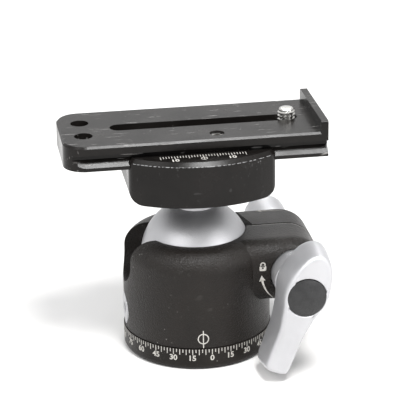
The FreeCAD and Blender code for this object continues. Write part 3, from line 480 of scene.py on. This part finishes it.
def turned_finish(name, colour, rough, axis, centre=(0.0, 0.0, 0.0)):
    """Turned metal: rings round an axis, from a noise read at the distance from that axis and along it."""
    tree, shader = new_finish(name, 1.0)
    turn = {"X": (0, math.pi / 2, 0), "Y": (math.pi / 2, 0, 0), "Z": (0, 0, 0)}[axis]
    moved = node(tree, "ShaderNodeVectorMath", {"operation": "SUBTRACT"}, _0=object_place(tree), _1=centre)
    turned = node(tree, "ShaderNodeMapping", Vector=moved.outputs[0], Rotation=turn).outputs[0]
    local = node(tree, "ShaderNodeSeparateXYZ", Vector=turned).outputs
    squares = [math_node(tree, "POWER", local[k], 2.0) for k in (0, 1)]
    radius = math_node(tree, "SQRT", math_node(tree, "ADD", *squares))
    rings = node(tree, "ShaderNodeCombineXYZ", X=radius, Y=local[2]).outputs[0]
    fine = noise(tree, rings, 6000.0, 2.0)
    grain = effect(tree, "fine_grain", Scale=900.0, Cloud_Scale=150.0)
    tree.links.new(mix_colour(tree, grain["Cloud"], rgb(colour, 0.8), rgb(colour)), shader["Base Color"])
    tree.links.new(mix_value(tree, fine, rough - 0.1, rough + 0.1), shader["Roughness"])
    tree.links.new(bump(tree, fine, 0.00001), shader["Normal"])


def plastic_finish(name, colour, rough, grain_depth=0.00002, mottle=0.0):
    """Moulded plastic or rubber: grain in its height and a slight mottle in its colour."""
    tree, shader = new_finish(name, 0.0)
    grain = effect(tree, "fine_grain", Scale=1800.0, Cloud_Scale=420.0)
    light = [min(1.0, c * (1.15 + mottle) + 0.02 * mottle) for c in colour]
    tree.links.new(mix_colour(tree, grain["Cloud"], rgb(colour), rgb(light)), shader["Base Color"])
    tree.links.new(mix_value(tree, grain["Grain"], rough - 0.08, rough + 0.08), shader["Roughness"])
    tree.links.new(bump(tree, grain["Grain"], grain_depth), shader["Normal"])


def marking_finish(name, colour):
    """Pale engraved marking, slightly uneven where the tool went over the black finish."""
    tree, shader = new_finish(name, 0.0, 0.3)
    grain = effect(tree, "fine_grain", Scale=5200.0, Cloud_Scale=900.0)
    tree.links.new(mix_colour(tree, grain["Cloud"], rgb(colour, 0.72), rgb(colour)), shader["Base Color"])
    tree.links.new(mix_value(tree, grain["Grain"], 0.55, 0.75), shader["Roughness"])


# Settings

def colour_setting(name, description, default):
    return FloatVectorProperty(name=name, description=description, subtype="COLOR", default=default,
                               min=0, max=1)


def length_setting(name, description, default):
    return FloatProperty(name=name, description=description, unit="LENGTH", default=default)


def angle_setting(name, description, degrees):
    return FloatProperty(name=name, description=description, subtype="ANGLE", default=math.radians(degrees))


def power_setting(name, description, default):
    return FloatProperty(name=name, description=description, unit="POWER", default=default)


class BallHeadFinishes(bpy.types.PropertyGroup):
    """Colours of the ball head's finishes."""
    satin: colour_setting("Satin black", "Colour of the blasted housing and base", (0.0095, 0.0078, 0.0066))
    gloss: colour_setting("Smooth black", "Colour of the smooth plate and clamp", (0.0065, 0.0057, 0.0052))
    silver: colour_setting("Matt silver", "Colour of the ball, lever and knob", (0.56, 0.56, 0.575))
    steel: colour_setting("Steel", "Colour of screws and pins", (0.62, 0.61, 0.59))
    marking: colour_setting("Markings", "Colour of the engraved scales and signs", (0.56, 0.54, 0.50))
    rubber: colour_setting("Rubber", "Colour of the lever's cap", (0.008, 0.008, 0.0085))


class BallHeadScales(bpy.types.PropertyGroup):
    """Sizes of the engraved scales and signs."""
    base_radius: length_setting("Base radius", "Radius of the ring with the degree scale", 0.027)
    zero_turn: angle_setting("Zero", "Angle of the degree scale's zero from the front, to the right", 2.7)
    label_step: IntProperty(name="Number step", description="Degrees from one number to the next", default=15)
    tick_top: length_setting("Tick top", "Height of the ticks' upper ends", 0.00805)
    long_tick: length_setting("Long tick", "Length of each five-degree tick", 0.0021)
    short_tick: length_setting("Short tick", "Length of each tick between them", 0.00125)
    number_height: length_setting("Number height", "Height of the degree scale's numbers", 0.0021)
    number_place: length_setting("Number level", "Height of the middle of the numbers", 0.0047)
    mark_turn: angle_setting("Index mark", "Angle of the index mark from the front, to the right", -4.0)
    mark_radius: length_setting("Index mark radius", "Radius of the housing where the mark is", 0.0268)
    line_width: length_setting("Line width", "Width of the engraved lines", 0.00036)
    relief: length_setting("Relief", "How far a marking stands from its surface", 0.00003)
    clamp_tick: length_setting("Clamp tick", "Length of each millimetre tick", 0.0018)
    clamp_long_tick: length_setting("Long clamp tick", "Length of each five-millimetre tick", 0.0027)
    clamp_zero_tick: length_setting("Clamp zero", "Length of the zero's tick", 0.0052)
    clamp_number: length_setting("Clamp number", "Height of the clamp scale's numbers", 0.0022)


class BallHeadPieces(bpy.types.PropertyGroup):
    """Sizes of the pieces that are made in more detail here."""
    lever_turn: angle_setting("Lever turn", "Angle of the lever's tip from straight down, to the left", 21.0)
    lever_edge: length_setting("Lever edge", "Radius of the lever's rounded front edge", 0.0016)
    screw_pitch: length_setting("Camera screw pitch", "Pitch of the camera screw's thread", 0.00127)
    tripod_pitch: length_setting("Tripod thread pitch", "Pitch of the tripod thread", 0.0015875)


class BallHeadStage(bpy.types.PropertyGroup):
    """Camera, floor and lights."""
    floor: colour_setting("Floor", "Colour of the floor", (0.80, 0.79, 0.775))
    focal_length: FloatProperty(name="Focal length", description="Focal length of the camera", unit="CAMERA",
                                default=171.43)
    key_power: power_setting("Key light", "Power of the large light at the upper left", 9.0)
    fill_power: power_setting("Fill light", "Power of the light at the right front", 5.0)
    edge_power: power_setting("Edge light", "Power of the small light high above the front", 12.0)
    rear_power: power_setting("Rear light", "Power of the light above and behind", 6.0)


# Pieces

WEAR = {                    # finish: nodes of the frame that wear it
    "satin_black": ["housing"],
    "satin_black_base": ["pan_base"],
    "gloss_black": ["camera_plate"],
    "gloss_black_clamp": ["clamp_body", "moving_jaw", "clamp_lever"],
    "matt_silver": ["ball", "lock_lever", "drag_knob", "pan_lock_screw"],
    "turned_steel_z": ["tripod_thread_bush", "pan_spindle", "spindle_screws", "retaining_ring",
                       "bearing_plate", "clamp_screw", "plate_socket_screw", "plate_stop_screws", "pivot_pin"],
    "turned_steel_y": ["clamp_nut", "lever_screw", "clamp_bolt", "drag_stud", "draw_bolt", "jaw_guide_pins"],
    "camera_screw_steel": ["camera_screw"],
    "spring_steel": ["seat_spring", "pad_spring", "jaw_springs"],
    "brass": ["pan_brake_shoe"],
    "white_plastic": ["pan_glide_ring", "lower_seat", "lever_washer", "knob_washer", "drag_pad",
                      "screw_keeper"],
    "cap_rubber": ["lever_cap"],
}


class BALLHEAD_OT_finishes(bpy.types.Operator):
    """Makes the finishes and puts one on each piece of the frame"""
    bl_idname = "ballhead.finishes"
    bl_label = "Finishes"

    def execute(self, context):
        tones = context.scene.ballhead_finishes
        self.blacks(list(tones.satin), list(tones.gloss))
        self.metals(list(tones.silver), list(tones.steel))
        plastic_finish("white_plastic", (0.78, 0.77, 0.73), 0.45)
        plastic_finish("cap_rubber", list(tones.rubber), 0.4, grain_depth=0.00006, mottle=0.3)
        marking_finish("markings", list(tones.marking))
        for finish, names in WEAR.items():
            for name in names:
                mesh = NODES[name].data
                mesh.materials.clear()
                mesh.materials.append(material(finish))
        left = set(NODES) - {name for names in WEAR.values() for name in names}
        if left:
            raise RuntimeError(f"no finish for {sorted(left)}")
        return {"FINISHED"}

    def blacks(self, satin, gloss):
        """Blasted and smooth black anodised metal; the housing's satin and the clamp's smooth finish each
        carry a painted highlight along one edge, on the clamp's jaw partly wear.
        """
        pale_satin = [1.5 * c for c in satin]
        # Pale line along the far edge of the housing's slit: a painted highlight. Pale line along the clamp
        # jaw's bevel: a painted highlight, partly wear.
        slit_edge_highlight = ("Y", -0.0015, 0.00045, 0.40, 0.0185, 0.0440)
        jaw_bevel_highlight_and_wear = ("Z", 0.0778, 0.00016, 0.50, -0.0245, 0.0245)
        metal_finish("satin_black", satin, pale_satin, rough=0.34, specular=0.22, grain_scale=2000.0,
                     grain_depth=0.00012, scratch=0.04, speck=0.35, wear_and_highlight=(0.34, 0.33, 0.31),
                     lines=[slit_edge_highlight])
        metal_finish("satin_black_base", satin, pale_satin, rough=0.36, specular=0.17, grain_scale=2600.0,
                     grain_depth=0.00004, scratch=0.05, speck=0.3, wear_and_highlight=(0.3, 0.29, 0.27))
        metal_finish("gloss_black", gloss, [1.8 * c for c in gloss], rough=0.22, specular=0.16,
                     grain_scale=3200.0, grain_depth=0.000008, scratch=0.75, scratch_scale=80.0, speck=0.25,
                     wear_and_highlight=(0.3, 0.29, 0.28))
        metal_finish("gloss_black_clamp", gloss, [1.6 * c for c in gloss], rough=0.24, specular=0.17,
                     grain_scale=3200.0, grain_depth=0.00001, scratch=0.05, scratch_scale=80.0, speck=0.3,
                     wear_and_highlight=(0.35, 0.35, 0.35), lines=[jaw_bevel_highlight_and_wear])

    def metals(self, silver, steel):
        """Matt silver, turned steel about each piece's own axis, spring steel and brass."""
        metal_finish("matt_silver", [0.9 * c for c in silver], silver, rough=0.46, rough_spread=0.08,
                     specular=0.4, metallic=0.75, grain_scale=3000.0, grain_depth=0.00003, scratch=0.05,
                     speck=0.08, wear_and_highlight=(0.4, 0.4, 0.41))
        turned_finish("turned_steel_z", steel, 0.28, "Z")
        turned_finish("turned_steel_y", steel, 0.28, "Y", (BOLT_X, 0, BOLT_Z))
        turned_finish("camera_screw_steel", steel, 0.22, "Z", (CAMERA_SCREW_X, 0, 0))
        turned_finish("spring_steel", [0.5 * c for c in steel], 0.35, "Y", (0.017, 0, 0.069))
        turned_finish("brass", (0.78, 0.56, 0.24), 0.3, "X", (0, 0, 0.0148))


class BALLHEAD_OT_degree_scale(bpy.types.Operator):
    """Ticks and numbers round the panning base"""
    bl_idname = "ballhead.degree_scale"
    bl_label = "Degree Scale"

    def execute(self, context):
        s = context.scene.ballhead_scales
        pale = material("markings")
        tick_step, tick_share = 2.5, 0.84
        turns = s.zero_turn + np.radians(np.arange(0, 360, tick_step))
        lengths = np.where(np.arange(len(turns)) % 2 == 0, s.long_tick, s.short_tick)
        half = tick_share * s.line_width / 2
        flat = bars(-half, half, s.tick_top - lengths, s.tick_top, -s.relief, s.relief)
        points, faces = boxes(flat)
        points = wrap(points, s.base_radius, np.repeat(turns, 8))
        mesh_object("degree_ticks", points, faces, pale, "base", smooth=False)
        points, faces = join(self.numbers(s))
        mesh_object("degree_numbers", points, faces, pale, "base", smooth=False)
        return {"FINISHED"}

    def numbers(self, s):
        """Numbers from 0 to 180 on both sides of the zero."""
        parts = []
        for degrees in range(0, 181, s.label_step):
            points, faces = letters(str(degrees), s.number_height, 2 * s.relief)
            points[:, 0] *= DIGIT_SPREAD
            points[:, 1] += s.number_place
            for side in ((1,) if degrees in (0, 180) else (1, -1)):
                turn = s.zero_turn + side * math.radians(degrees)
                parts.append((wrap(points, s.base_radius, turn), faces))
        return parts


class BALLHEAD_OT_index_mark(bpy.types.Operator):
    """Circle and line on the housing above the degree scale"""
    bl_idname = "ballhead.index_mark"
    bl_label = "Index Mark"

    def execute(self, context):
        s = context.scene.ballhead_scales
        circle_z, circle_radius, circle_half = 0.0121, 0.00185, 0.00019
        line_bottom, line_top = 0.0086, 0.0153
        ring, ring_faces = flat_ring(circle_radius, circle_half, -s.relief, s.relief)
        ring[:, 1] += circle_z
        half = s.line_width / 2
        line, line_faces = boxes(bars(-half, half, line_bottom, line_top, -s.relief, s.relief))
        parts = [(wrap(flat, s.mark_radius, s.mark_turn), faces)
                 for flat, faces in ((ring, ring_faces), (line, line_faces))]
        points, faces = join(parts)
        mesh_object("index_mark", points, faces, material("markings"), "housing", smooth=False)
        return {"FINISHED"}


class BALLHEAD_OT_lock_signs(bpy.types.Operator):
    """Padlock and turning arrow beside the lever, and the drag arrow on the flat top"""
    bl_idname = "ballhead.lock_signs"
    bl_label = "Lock Signs"

    def execute(self, context):
        relief = context.scene.ballhead_scales.relief
        pale = material("markings")
        signs = self.turning_arrow(relief) + self.padlock(relief)
        points, faces = join([(facing_front(flat, BOSS_FACE_Y), faces) for flat, faces in signs])
        mesh_object("lock_signs", points, faces, pale, "housing", smooth=False)
        points, faces = join(self.drag_arrow(BOSS_TOP_Z - relief, BOSS_TOP_Z + relief))
        mesh_object("drag_arrow", points, faces, pale, "housing", smooth=False)
        return {"FINISHED"}

    def turning_arrow(self, relief):
        """Arrow on an arc about the bolt: a shaft that widens and a head that narrows to a point."""
        radius = 0.0118
        shaft_half = np.linspace(0.00006, 0.00042, 25)
        head_half = np.linspace(0.00115, 0.00004, 9)
        shaft = bolt_arc(radius, 228, 190, len(shaft_half))
        head = bolt_arc(radius, 190.5, 180.5, len(head_half))
        return [flat_band(shaft, shaft_half, -relief, relief), flat_band(head, head_half, -relief, relief)]

    def drag_arrow(self, low, high):
        """Straight arrow on the flat top: a shaft that widens and a head that narrows to a point."""
        shaft_half = np.linspace(0.00005, 0.00032, 12)
        head_half = np.linspace(0.00095, 0.00004, 5)
        shaft = straight_line((0.0340, 0.0109), (0.0262, 0.0121), len(shaft_half))
        head = straight_line((0.0264, 0.01205), (0.0243, 0.01235), len(head_half))
        return [flat_band(shaft, shaft_half, low, high), flat_band(head, head_half, low, high)]

    def padlock(self, relief):
        """Lock's body and the ring of its shackle."""
        place = np.array([0.0209, 0.0352, 0.0])
        shackle_radius, shackle_half, shackle_rise = 0.00078, 0.00022, 0.00115
        shackle, shackle_faces = flat_ring(shackle_radius, shackle_half, -relief, relief)
        shackle[:, 1] += shackle_rise
        body, body_faces = self.lock_body(relief)
        return [(body + place, body_faces), (shackle + place, shackle_faces)]

    def lock_body(self, relief):
        """Rounded square with a keyhole: rings from |x/a|^5 + |y/b|^5 = 1 in to a small circle."""
        count = 40
        half_width, half_height, keyhole_radius, drop = 0.00122, 0.00100, 0.00030, 0.0002
        turn = np.linspace(0, 2 * np.pi, count, endpoint=False)
        c, s = np.cos(turn), np.sin(turn)
        outline = (np.abs(c / half_width) ** 5 + np.abs(s / half_height) ** 5) ** -0.2
        keyhole = np.full(count, keyhole_radius)
        rings = []
        for radius, z in ((outline, -relief), (outline, relief), (keyhole, relief), (keyhole, -relief),
                          (outline, -relief)):
            rings.append(np.stack([radius * c, radius * s - drop, np.full(count, z)], 1))
        return np.stack(rings).reshape(-1, 3), grid_faces(len(rings), count)


class BALLHEAD_OT_clamp_scale(bpy.types.Operator):
    """Millimetre scale on the clamp's front jaw"""
    bl_idname = "ballhead.clamp_scale"
    bl_label = "Clamp Scale"

    def execute(self, context):
        s = context.scene.ballhead_scales
        low, high = LEDGE_Z - s.relief, LEDGE_Z + s.relief
        start, half = -0.0194, 0.00013
        circle_radius, circle_half, circle_reach = 0.00105, 0.00014, 0.0037
        number_x, number_reach = 0.010, 0.0041
        steps = np.arange(-15, 16)
        x = steps * MM
        length = np.where(steps % 5 == 0, s.clamp_long_tick, s.clamp_tick)
        length = np.where(steps == 0, s.clamp_zero_tick, length)
        parts = [boxes(bars(x - half, x + half, start - length, start, low, high))]
        ring, ring_faces = flat_ring(circle_radius, circle_half, low, high)
        ring[:, 1] += start - circle_reach
        parts.append((ring, ring_faces))
        for side in (-1, 1):
            flat, flat_faces = letters("10", s.clamp_number, 2 * s.relief)
            place = np.array([side * number_x, start - number_reach, LEDGE_Z])
            parts.append((flat + place, flat_faces))
        points, faces = join(parts)
        mesh_object("clamp_scale", points, faces, material("markings"), "clamp", smooth=False)
        return {"FINISHED"}


class BALLHEAD_OT_lock_lever(bpy.types.Operator):
    """Sculpted lock lever with a soft front edge and a round seat for its cap"""
    bl_idname = "ballhead.lock_lever"
    bl_label = "Lock Lever"

    def execute(self, context):
        p = context.scene.ballhead_pieces
        rings = self.rings(p.lever_edge)
        c, s = math.cos(p.lever_turn), math.sin(p.lever_turn)
        x, z = rings[..., 0].copy(), rings[..., 2].copy()
        rings[..., 0] = BOLT_X + c * x + s * z
        rings[..., 2] = BOLT_Z - s * x + c * z
        points, faces = capped_rings(rings)
        finish = material("matt_silver")
        piece = mesh_object("lock_lever_body", points, faces, finish, "lock_lever")
        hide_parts("lock_lever")
        return {"FINISHED"}

    def outline(self, count):
        """Outline of the widest section about the bolt, tip straight down, and its outward normals."""
        top, tip = 17.0, 32.0
        half = [(5.7, 0.76 * top), (8.9, 0.1 * top), (6.5, -0.27 * tip), (5.2, -0.5 * tip), (5.0, -0.8 * tip),
                (4.3, -0.97 * tip)]
        control = [(0, top)] + half + [(0, -tip)] + [(-x, z) for x, z in reversed(half)]
        outline = closed_curve(control, count) * MM
        tangent = np.roll(outline, -1, 0) - np.roll(outline, 1, 0)
        normal = np.stack([-tangent[:, 1], tangent[:, 0]], 1)
        normal /= np.linalg.norm(normal, axis=1)[:, None]
        return outline, normal * np.sign((normal * outline).sum(1))[:, None]

    def rings(self, edge):
        """Rings from the bolt's hole over the hub, the back, the sides and the front edge to the cap's seat.

        A ring of the arm is outline * (width, length) - normal * inset, and a ring of the hub is a circle.
        """
        count = 160
        outline, normal = self.outline(count)
        turn = np.arctan2(outline[:, 1], outline[:, 0])
        circle = np.stack([np.cos(turn), np.sin(turn)], 1)
        rows = []

        def level(flat, y):
            rows.append(np.column_stack([flat[:, 0], np.full(count, -y), flat[:, 1]]))

        def arm(y, width, length, inset):
            level(outline * np.array([width, length]) - normal * inset, y)

        back, front, back_edge = 0.028, 0.043, 0.0016
        side_start, first_angle = 0.0026, 0.25
        back_share, width_loss, length_loss = 0.97, 0.14, 0.06
        front_width, front_length = 0.875, 0.95
        hub = ((0.0031, 0.01705), (0.0080, 0.01705), (0.0083, 0.01725), (0.0084, 0.0176),
               (0.0084, back - 0.0003))
        for radius, y in hub:
            level(circle * radius, y)
        for a in np.linspace(0, math.pi / 2, 6):
            arm(back + back_edge * (1 - math.cos(a)), back_share, back_share, back_edge * (1 - math.sin(a)))
        for y in np.linspace(back + side_start, front - edge, 7):
            share = (y - back) / (front - back)
            arm(y, 1.0 - width_loss * share ** 2, 1.0 - length_loss * share ** 2, 0.0)
        for a in np.linspace(first_angle, math.pi / 2, 7):
            arm(front - edge + edge * math.sin(a), front_width, front_length, edge * (1 - math.cos(a)))
        seat = ((0.00735, 0.0), (0.00712, 0.0002), (0.00705, 0.0005), (0.00705, 0.0022))
        for radius, depth in seat:
            level(circle * radius, front - depth)
        return np.stack(rows)


class BALLHEAD_OT_camera_screw(bpy.types.Operator):
    """Camera screw with its thread, waist, head and hexagon socket"""
    bl_idname = "ballhead.camera_screw"
    bl_label = "Camera Screw"

    def execute(self, context):
        p = context.scene.ballhead_pieces
        count = 72
        core, crest, waist_top, run_out = 0.00262, 0.003175, 0.0064, 0.0006
        low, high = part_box("camera_screw")
        bottom, top = low.z, high.z
        rows = self.head(bottom, count)
        rows += thread_rows(core, crest, p.screw_pitch, bottom + waist_top, top - run_out, count)
        dome = ((0.0026, 0.00055), (0.0025, 0.0003), (0.0022, 0.0001), (0.0017, 0.00002), (0.0008, 0.0))
        rows += [(radius, top - depth) for radius, depth in dome]
        points, faces = capped_rings(lathe(rows, count, CAMERA_SCREW_X))
        finish = material("camera_screw_steel")
        piece = mesh_object("camera_screw_thread", points, faces, finish, "camera_screw")
        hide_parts("camera_screw")
        return {"FINISHED"}

    def head(self, bottom, count):
        """Rows from the hexagon socket round the head to the waist: (radius, height over the bottom).

        The socket's radius is its half width over the cosine of the angle from its nearest side's middle.
        """
        turn = np.linspace(0, 2 * np.pi, count, endpoint=False)
        half_width, sixth = 0.002, math.pi / 3
        hexagon = half_width / np.cos((turn + sixth / 2) % sixth - sixth / 2)
        rows = ((hexagon * 0.98, 0.0017), (hexagon, 0.00005), (hexagon * 1.04, 0.0),
                (0.0056, 0.0), (0.0059, 0.0001), (0.0060, 0.0004), (0.0060, 0.0030), (0.0059, 0.0033),
                (0.0056, 0.0034), (0.00245, 0.0034), (0.00245, 0.0062))
        return [(radius, bottom + rise) for radius, rise in rows]


class BALLHEAD_OT_tripod_thread(bpy.types.Operator):
    """Threaded bush in the middle of the base"""
    bl_idname = "ballhead.tripod_thread"
    bl_label = "Tripod Thread"

    def execute(self, context):
        p = context.scene.ballhead_pieces
        count = 64
        core, groove, body = 0.00397, 0.0047, 0.0070
        edge, flange_height, lead = 0.0002, 0.0023, 0.0004
        low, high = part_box("tripod_thread_bush")
        bottom, top, flange = low.z, high.z, high.x
        step = top - flange_height
        inner = [(core, bottom)] + thread_rows(core, groove, p.tripod_pitch, bottom + lead, top - lead, count)
        outer = [(core, top), (flange - edge, top), (flange, top - edge), (flange, step + edge / 2),
                 (flange - edge / 2, step), (body, step), (body, bottom + edge), (body - edge, bottom)]
        points, faces = looped_rings(lathe(inner + outer, count)[::-1])
        piece = mesh_object("tripod_bush_thread", points, faces, material("turned_steel_z"), "base")
        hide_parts("tripod_thread_bush")
        return {"FINISHED"}


class BALLHEAD_OT_stage(bpy.types.Operator):
    """Floor, lights, background and camera"""
    bl_idname = "ballhead.stage"
    bl_label = "Stage"

    def execute(self, context):
        s = context.scene.ballhead_stage
        scene = context.scene
        scene.view_settings.view_transform = "Standard"
        self.floor(scene, list(s.floor))
        self.world(scene)
        lamps = (
            ("key_light", (-0.75, -0.55, 1.05), 0.75, s.key_power),
            ("fill_light", (0.85, -0.75, 0.55), 0.7, s.fill_power),
            ("edge_light", (0.14, -0.42, 1.0), 0.35, s.edge_power),
            ("rear_light", (0.15, 0.8, 0.95), 0.7, s.rear_power),
        )
        for name, place, size, power in lamps:
            self.lamp(scene, name, Vector(place), size, power)
        self.camera(scene, s.focal_length)
        return {"FINISHED"}

    def floor(self, scene, tone):
        """Pale matt floor."""
        tree, shader = new_finish("floor", 0.0, 0.2)
        grain = effect(tree, "fine_grain", Scale=300.0, Cloud_Scale=6.0)
        tree.links.new(mix_colour(tree, grain["Cloud"], rgb(tone, 0.985), rgb(tone)), shader["Base Color"])
        shader["Roughness"].default_value = 0.8
        size = 3.0
        corners = [(-size, -size, 0), (size, -size, 0), (size, size, 0), (-size, size, 0)]
        mesh = bpy.data.meshes.new("floor")
        mesh.from_pydata(corners, [], [(0, 1, 2, 3)])
        mesh.materials.append(material("floor"))
        floor = bpy.data.objects.new("floor", mesh)
        scene.collection.objects.link(floor)

    def world(self, scene):
        """Dim room that the camera, glossy surfaces and clear ones see as white."""
        world = bpy.data.worlds.new("soft_room")
        scene.world = world
        world.use_nodes = True
        tree = world.node_tree
        tree.nodes.clear()
        path = node(tree, "ShaderNodeLightPath").outputs
        seen = math_node(tree, "MAXIMUM", path["Is Camera Ray"], path["Is Transmission Ray"], True)
        seen = math_node(tree, "MAXIMUM", seen, path["Is Glossy Ray"], True)
        room = node(tree, "ShaderNodeBackground", Color=(0.92, 0.95, 1.0, 1.0), Strength=0.42).outputs[0]
        white = node(tree, "ShaderNodeBackground", Color=(1.0, 1.0, 1.0, 1.0), Strength=1.0).outputs[0]
        both = node(tree, "ShaderNodeMixShader", _0=seen, _1=room, _2=white).outputs[0]
        node(tree, "ShaderNodeOutputWorld", Surface=both)

    def lamp(self, scene, name, place, size, power):
        """Round soft lamp that points at the middle of the ball head."""
        data = bpy.data.lights.new(name, "AREA")
        data.shape = "DISK"
        data.size = size
        data.energy = power
        lamp = bpy.data.objects.new(name, data)
        scene.collection.objects.link(lamp)
        lamp.location = place
        middle = Vector((0, 0, 0.05))
        lamp.rotation_euler = (middle - place).to_track_quat("-Z", "Y").to_euler()

    def camera(self, scene, focal_length):
        """Camera from its place and its turn, pitch and roll."""
        data = bpy.data.cameras.new("camera")
        data.sensor_width = 36.0
        data.lens = focal_length
        data.clip_start = 0.05
        data.clip_end = 20.0
        camera = bpy.data.objects.new("camera", data)
        scene.collection.objects.link(camera)
        place = (-0.09998, -0.66496, 0.31582)
        turn, pitch, roll = math.radians(9.0), math.radians(21.5), math.radians(0.75)
        right = np.array([math.cos(turn), -math.sin(turn), 0.0])
        level = math.cos(pitch)
        forward = np.array([math.sin(turn) * level, math.cos(turn) * level, -math.sin(pitch)])
        up = np.cross(right, forward)
        matrix = np.eye(4)
        matrix[:3, 0] = math.cos(roll) * right - math.sin(roll) * up
        matrix[:3, 1] = math.sin(roll) * right + math.cos(roll) * up
        matrix[:3, 2] = -forward
        matrix[:3, 3] = place
        camera.matrix_world = Matrix(matrix.tolist())
        scene.camera = camera


# Add-on

STEPS = (
    BALLHEAD_OT_finishes,
    BALLHEAD_OT_degree_scale,
    BALLHEAD_OT_index_mark,
    BALLHEAD_OT_lock_signs,
    BALLHEAD_OT_clamp_scale,
    BALLHEAD_OT_lock_lever,
    BALLHEAD_OT_camera_screw,
    BALLHEAD_OT_tripod_thread,
    BALLHEAD_OT_stage,
)
SETTINGS = {
    "ballhead_finishes": BallHeadFinishes,
    "ballhead_scales": BallHeadScales,
    "ballhead_pieces": BallHeadPieces,
    "ballhead_stage": BallHeadStage,
}


class BALLHEAD_PT_panel(bpy.types.Panel):
    """Lists the steps and the settings of the ball head"""
    bl_label = "Tripod Ball Head"
    bl_idname = "BALLHEAD_PT_panel"
    bl_space_type = "VIEW_3D"
    bl_region_type = "UI"
    bl_category = "Ball Head"

    def draw(self, context):
        for step in STEPS:
            self.layout.operator(step.bl_idname)
        for name in SETTINGS:
            settings = getattr(context.scene, name)
            box = self.layout.box()
            for key in settings.__annotations__:
                box.prop(settings, key)


CLASSES = (*SETTINGS.values(), *STEPS, BALLHEAD_PT_panel)


def register():
    for cls in CLASSES:
        bpy.utils.register_class(cls)
    for name, settings in SETTINGS.items():
        setattr(bpy.types.Scene, name, PointerProperty(type=settings))


def unregister():
    for name in SETTINGS:
        delattr(bpy.types.Scene, name)
    for cls in reversed(CLASSES):
        bpy.utils.unregister_class(cls)


def main():
    register()
    for step in STEPS:
        family, name = step.bl_idname.split(".")
        getattr(getattr(bpy.ops, family), name)()


if __name__ == "__main__":
    main()
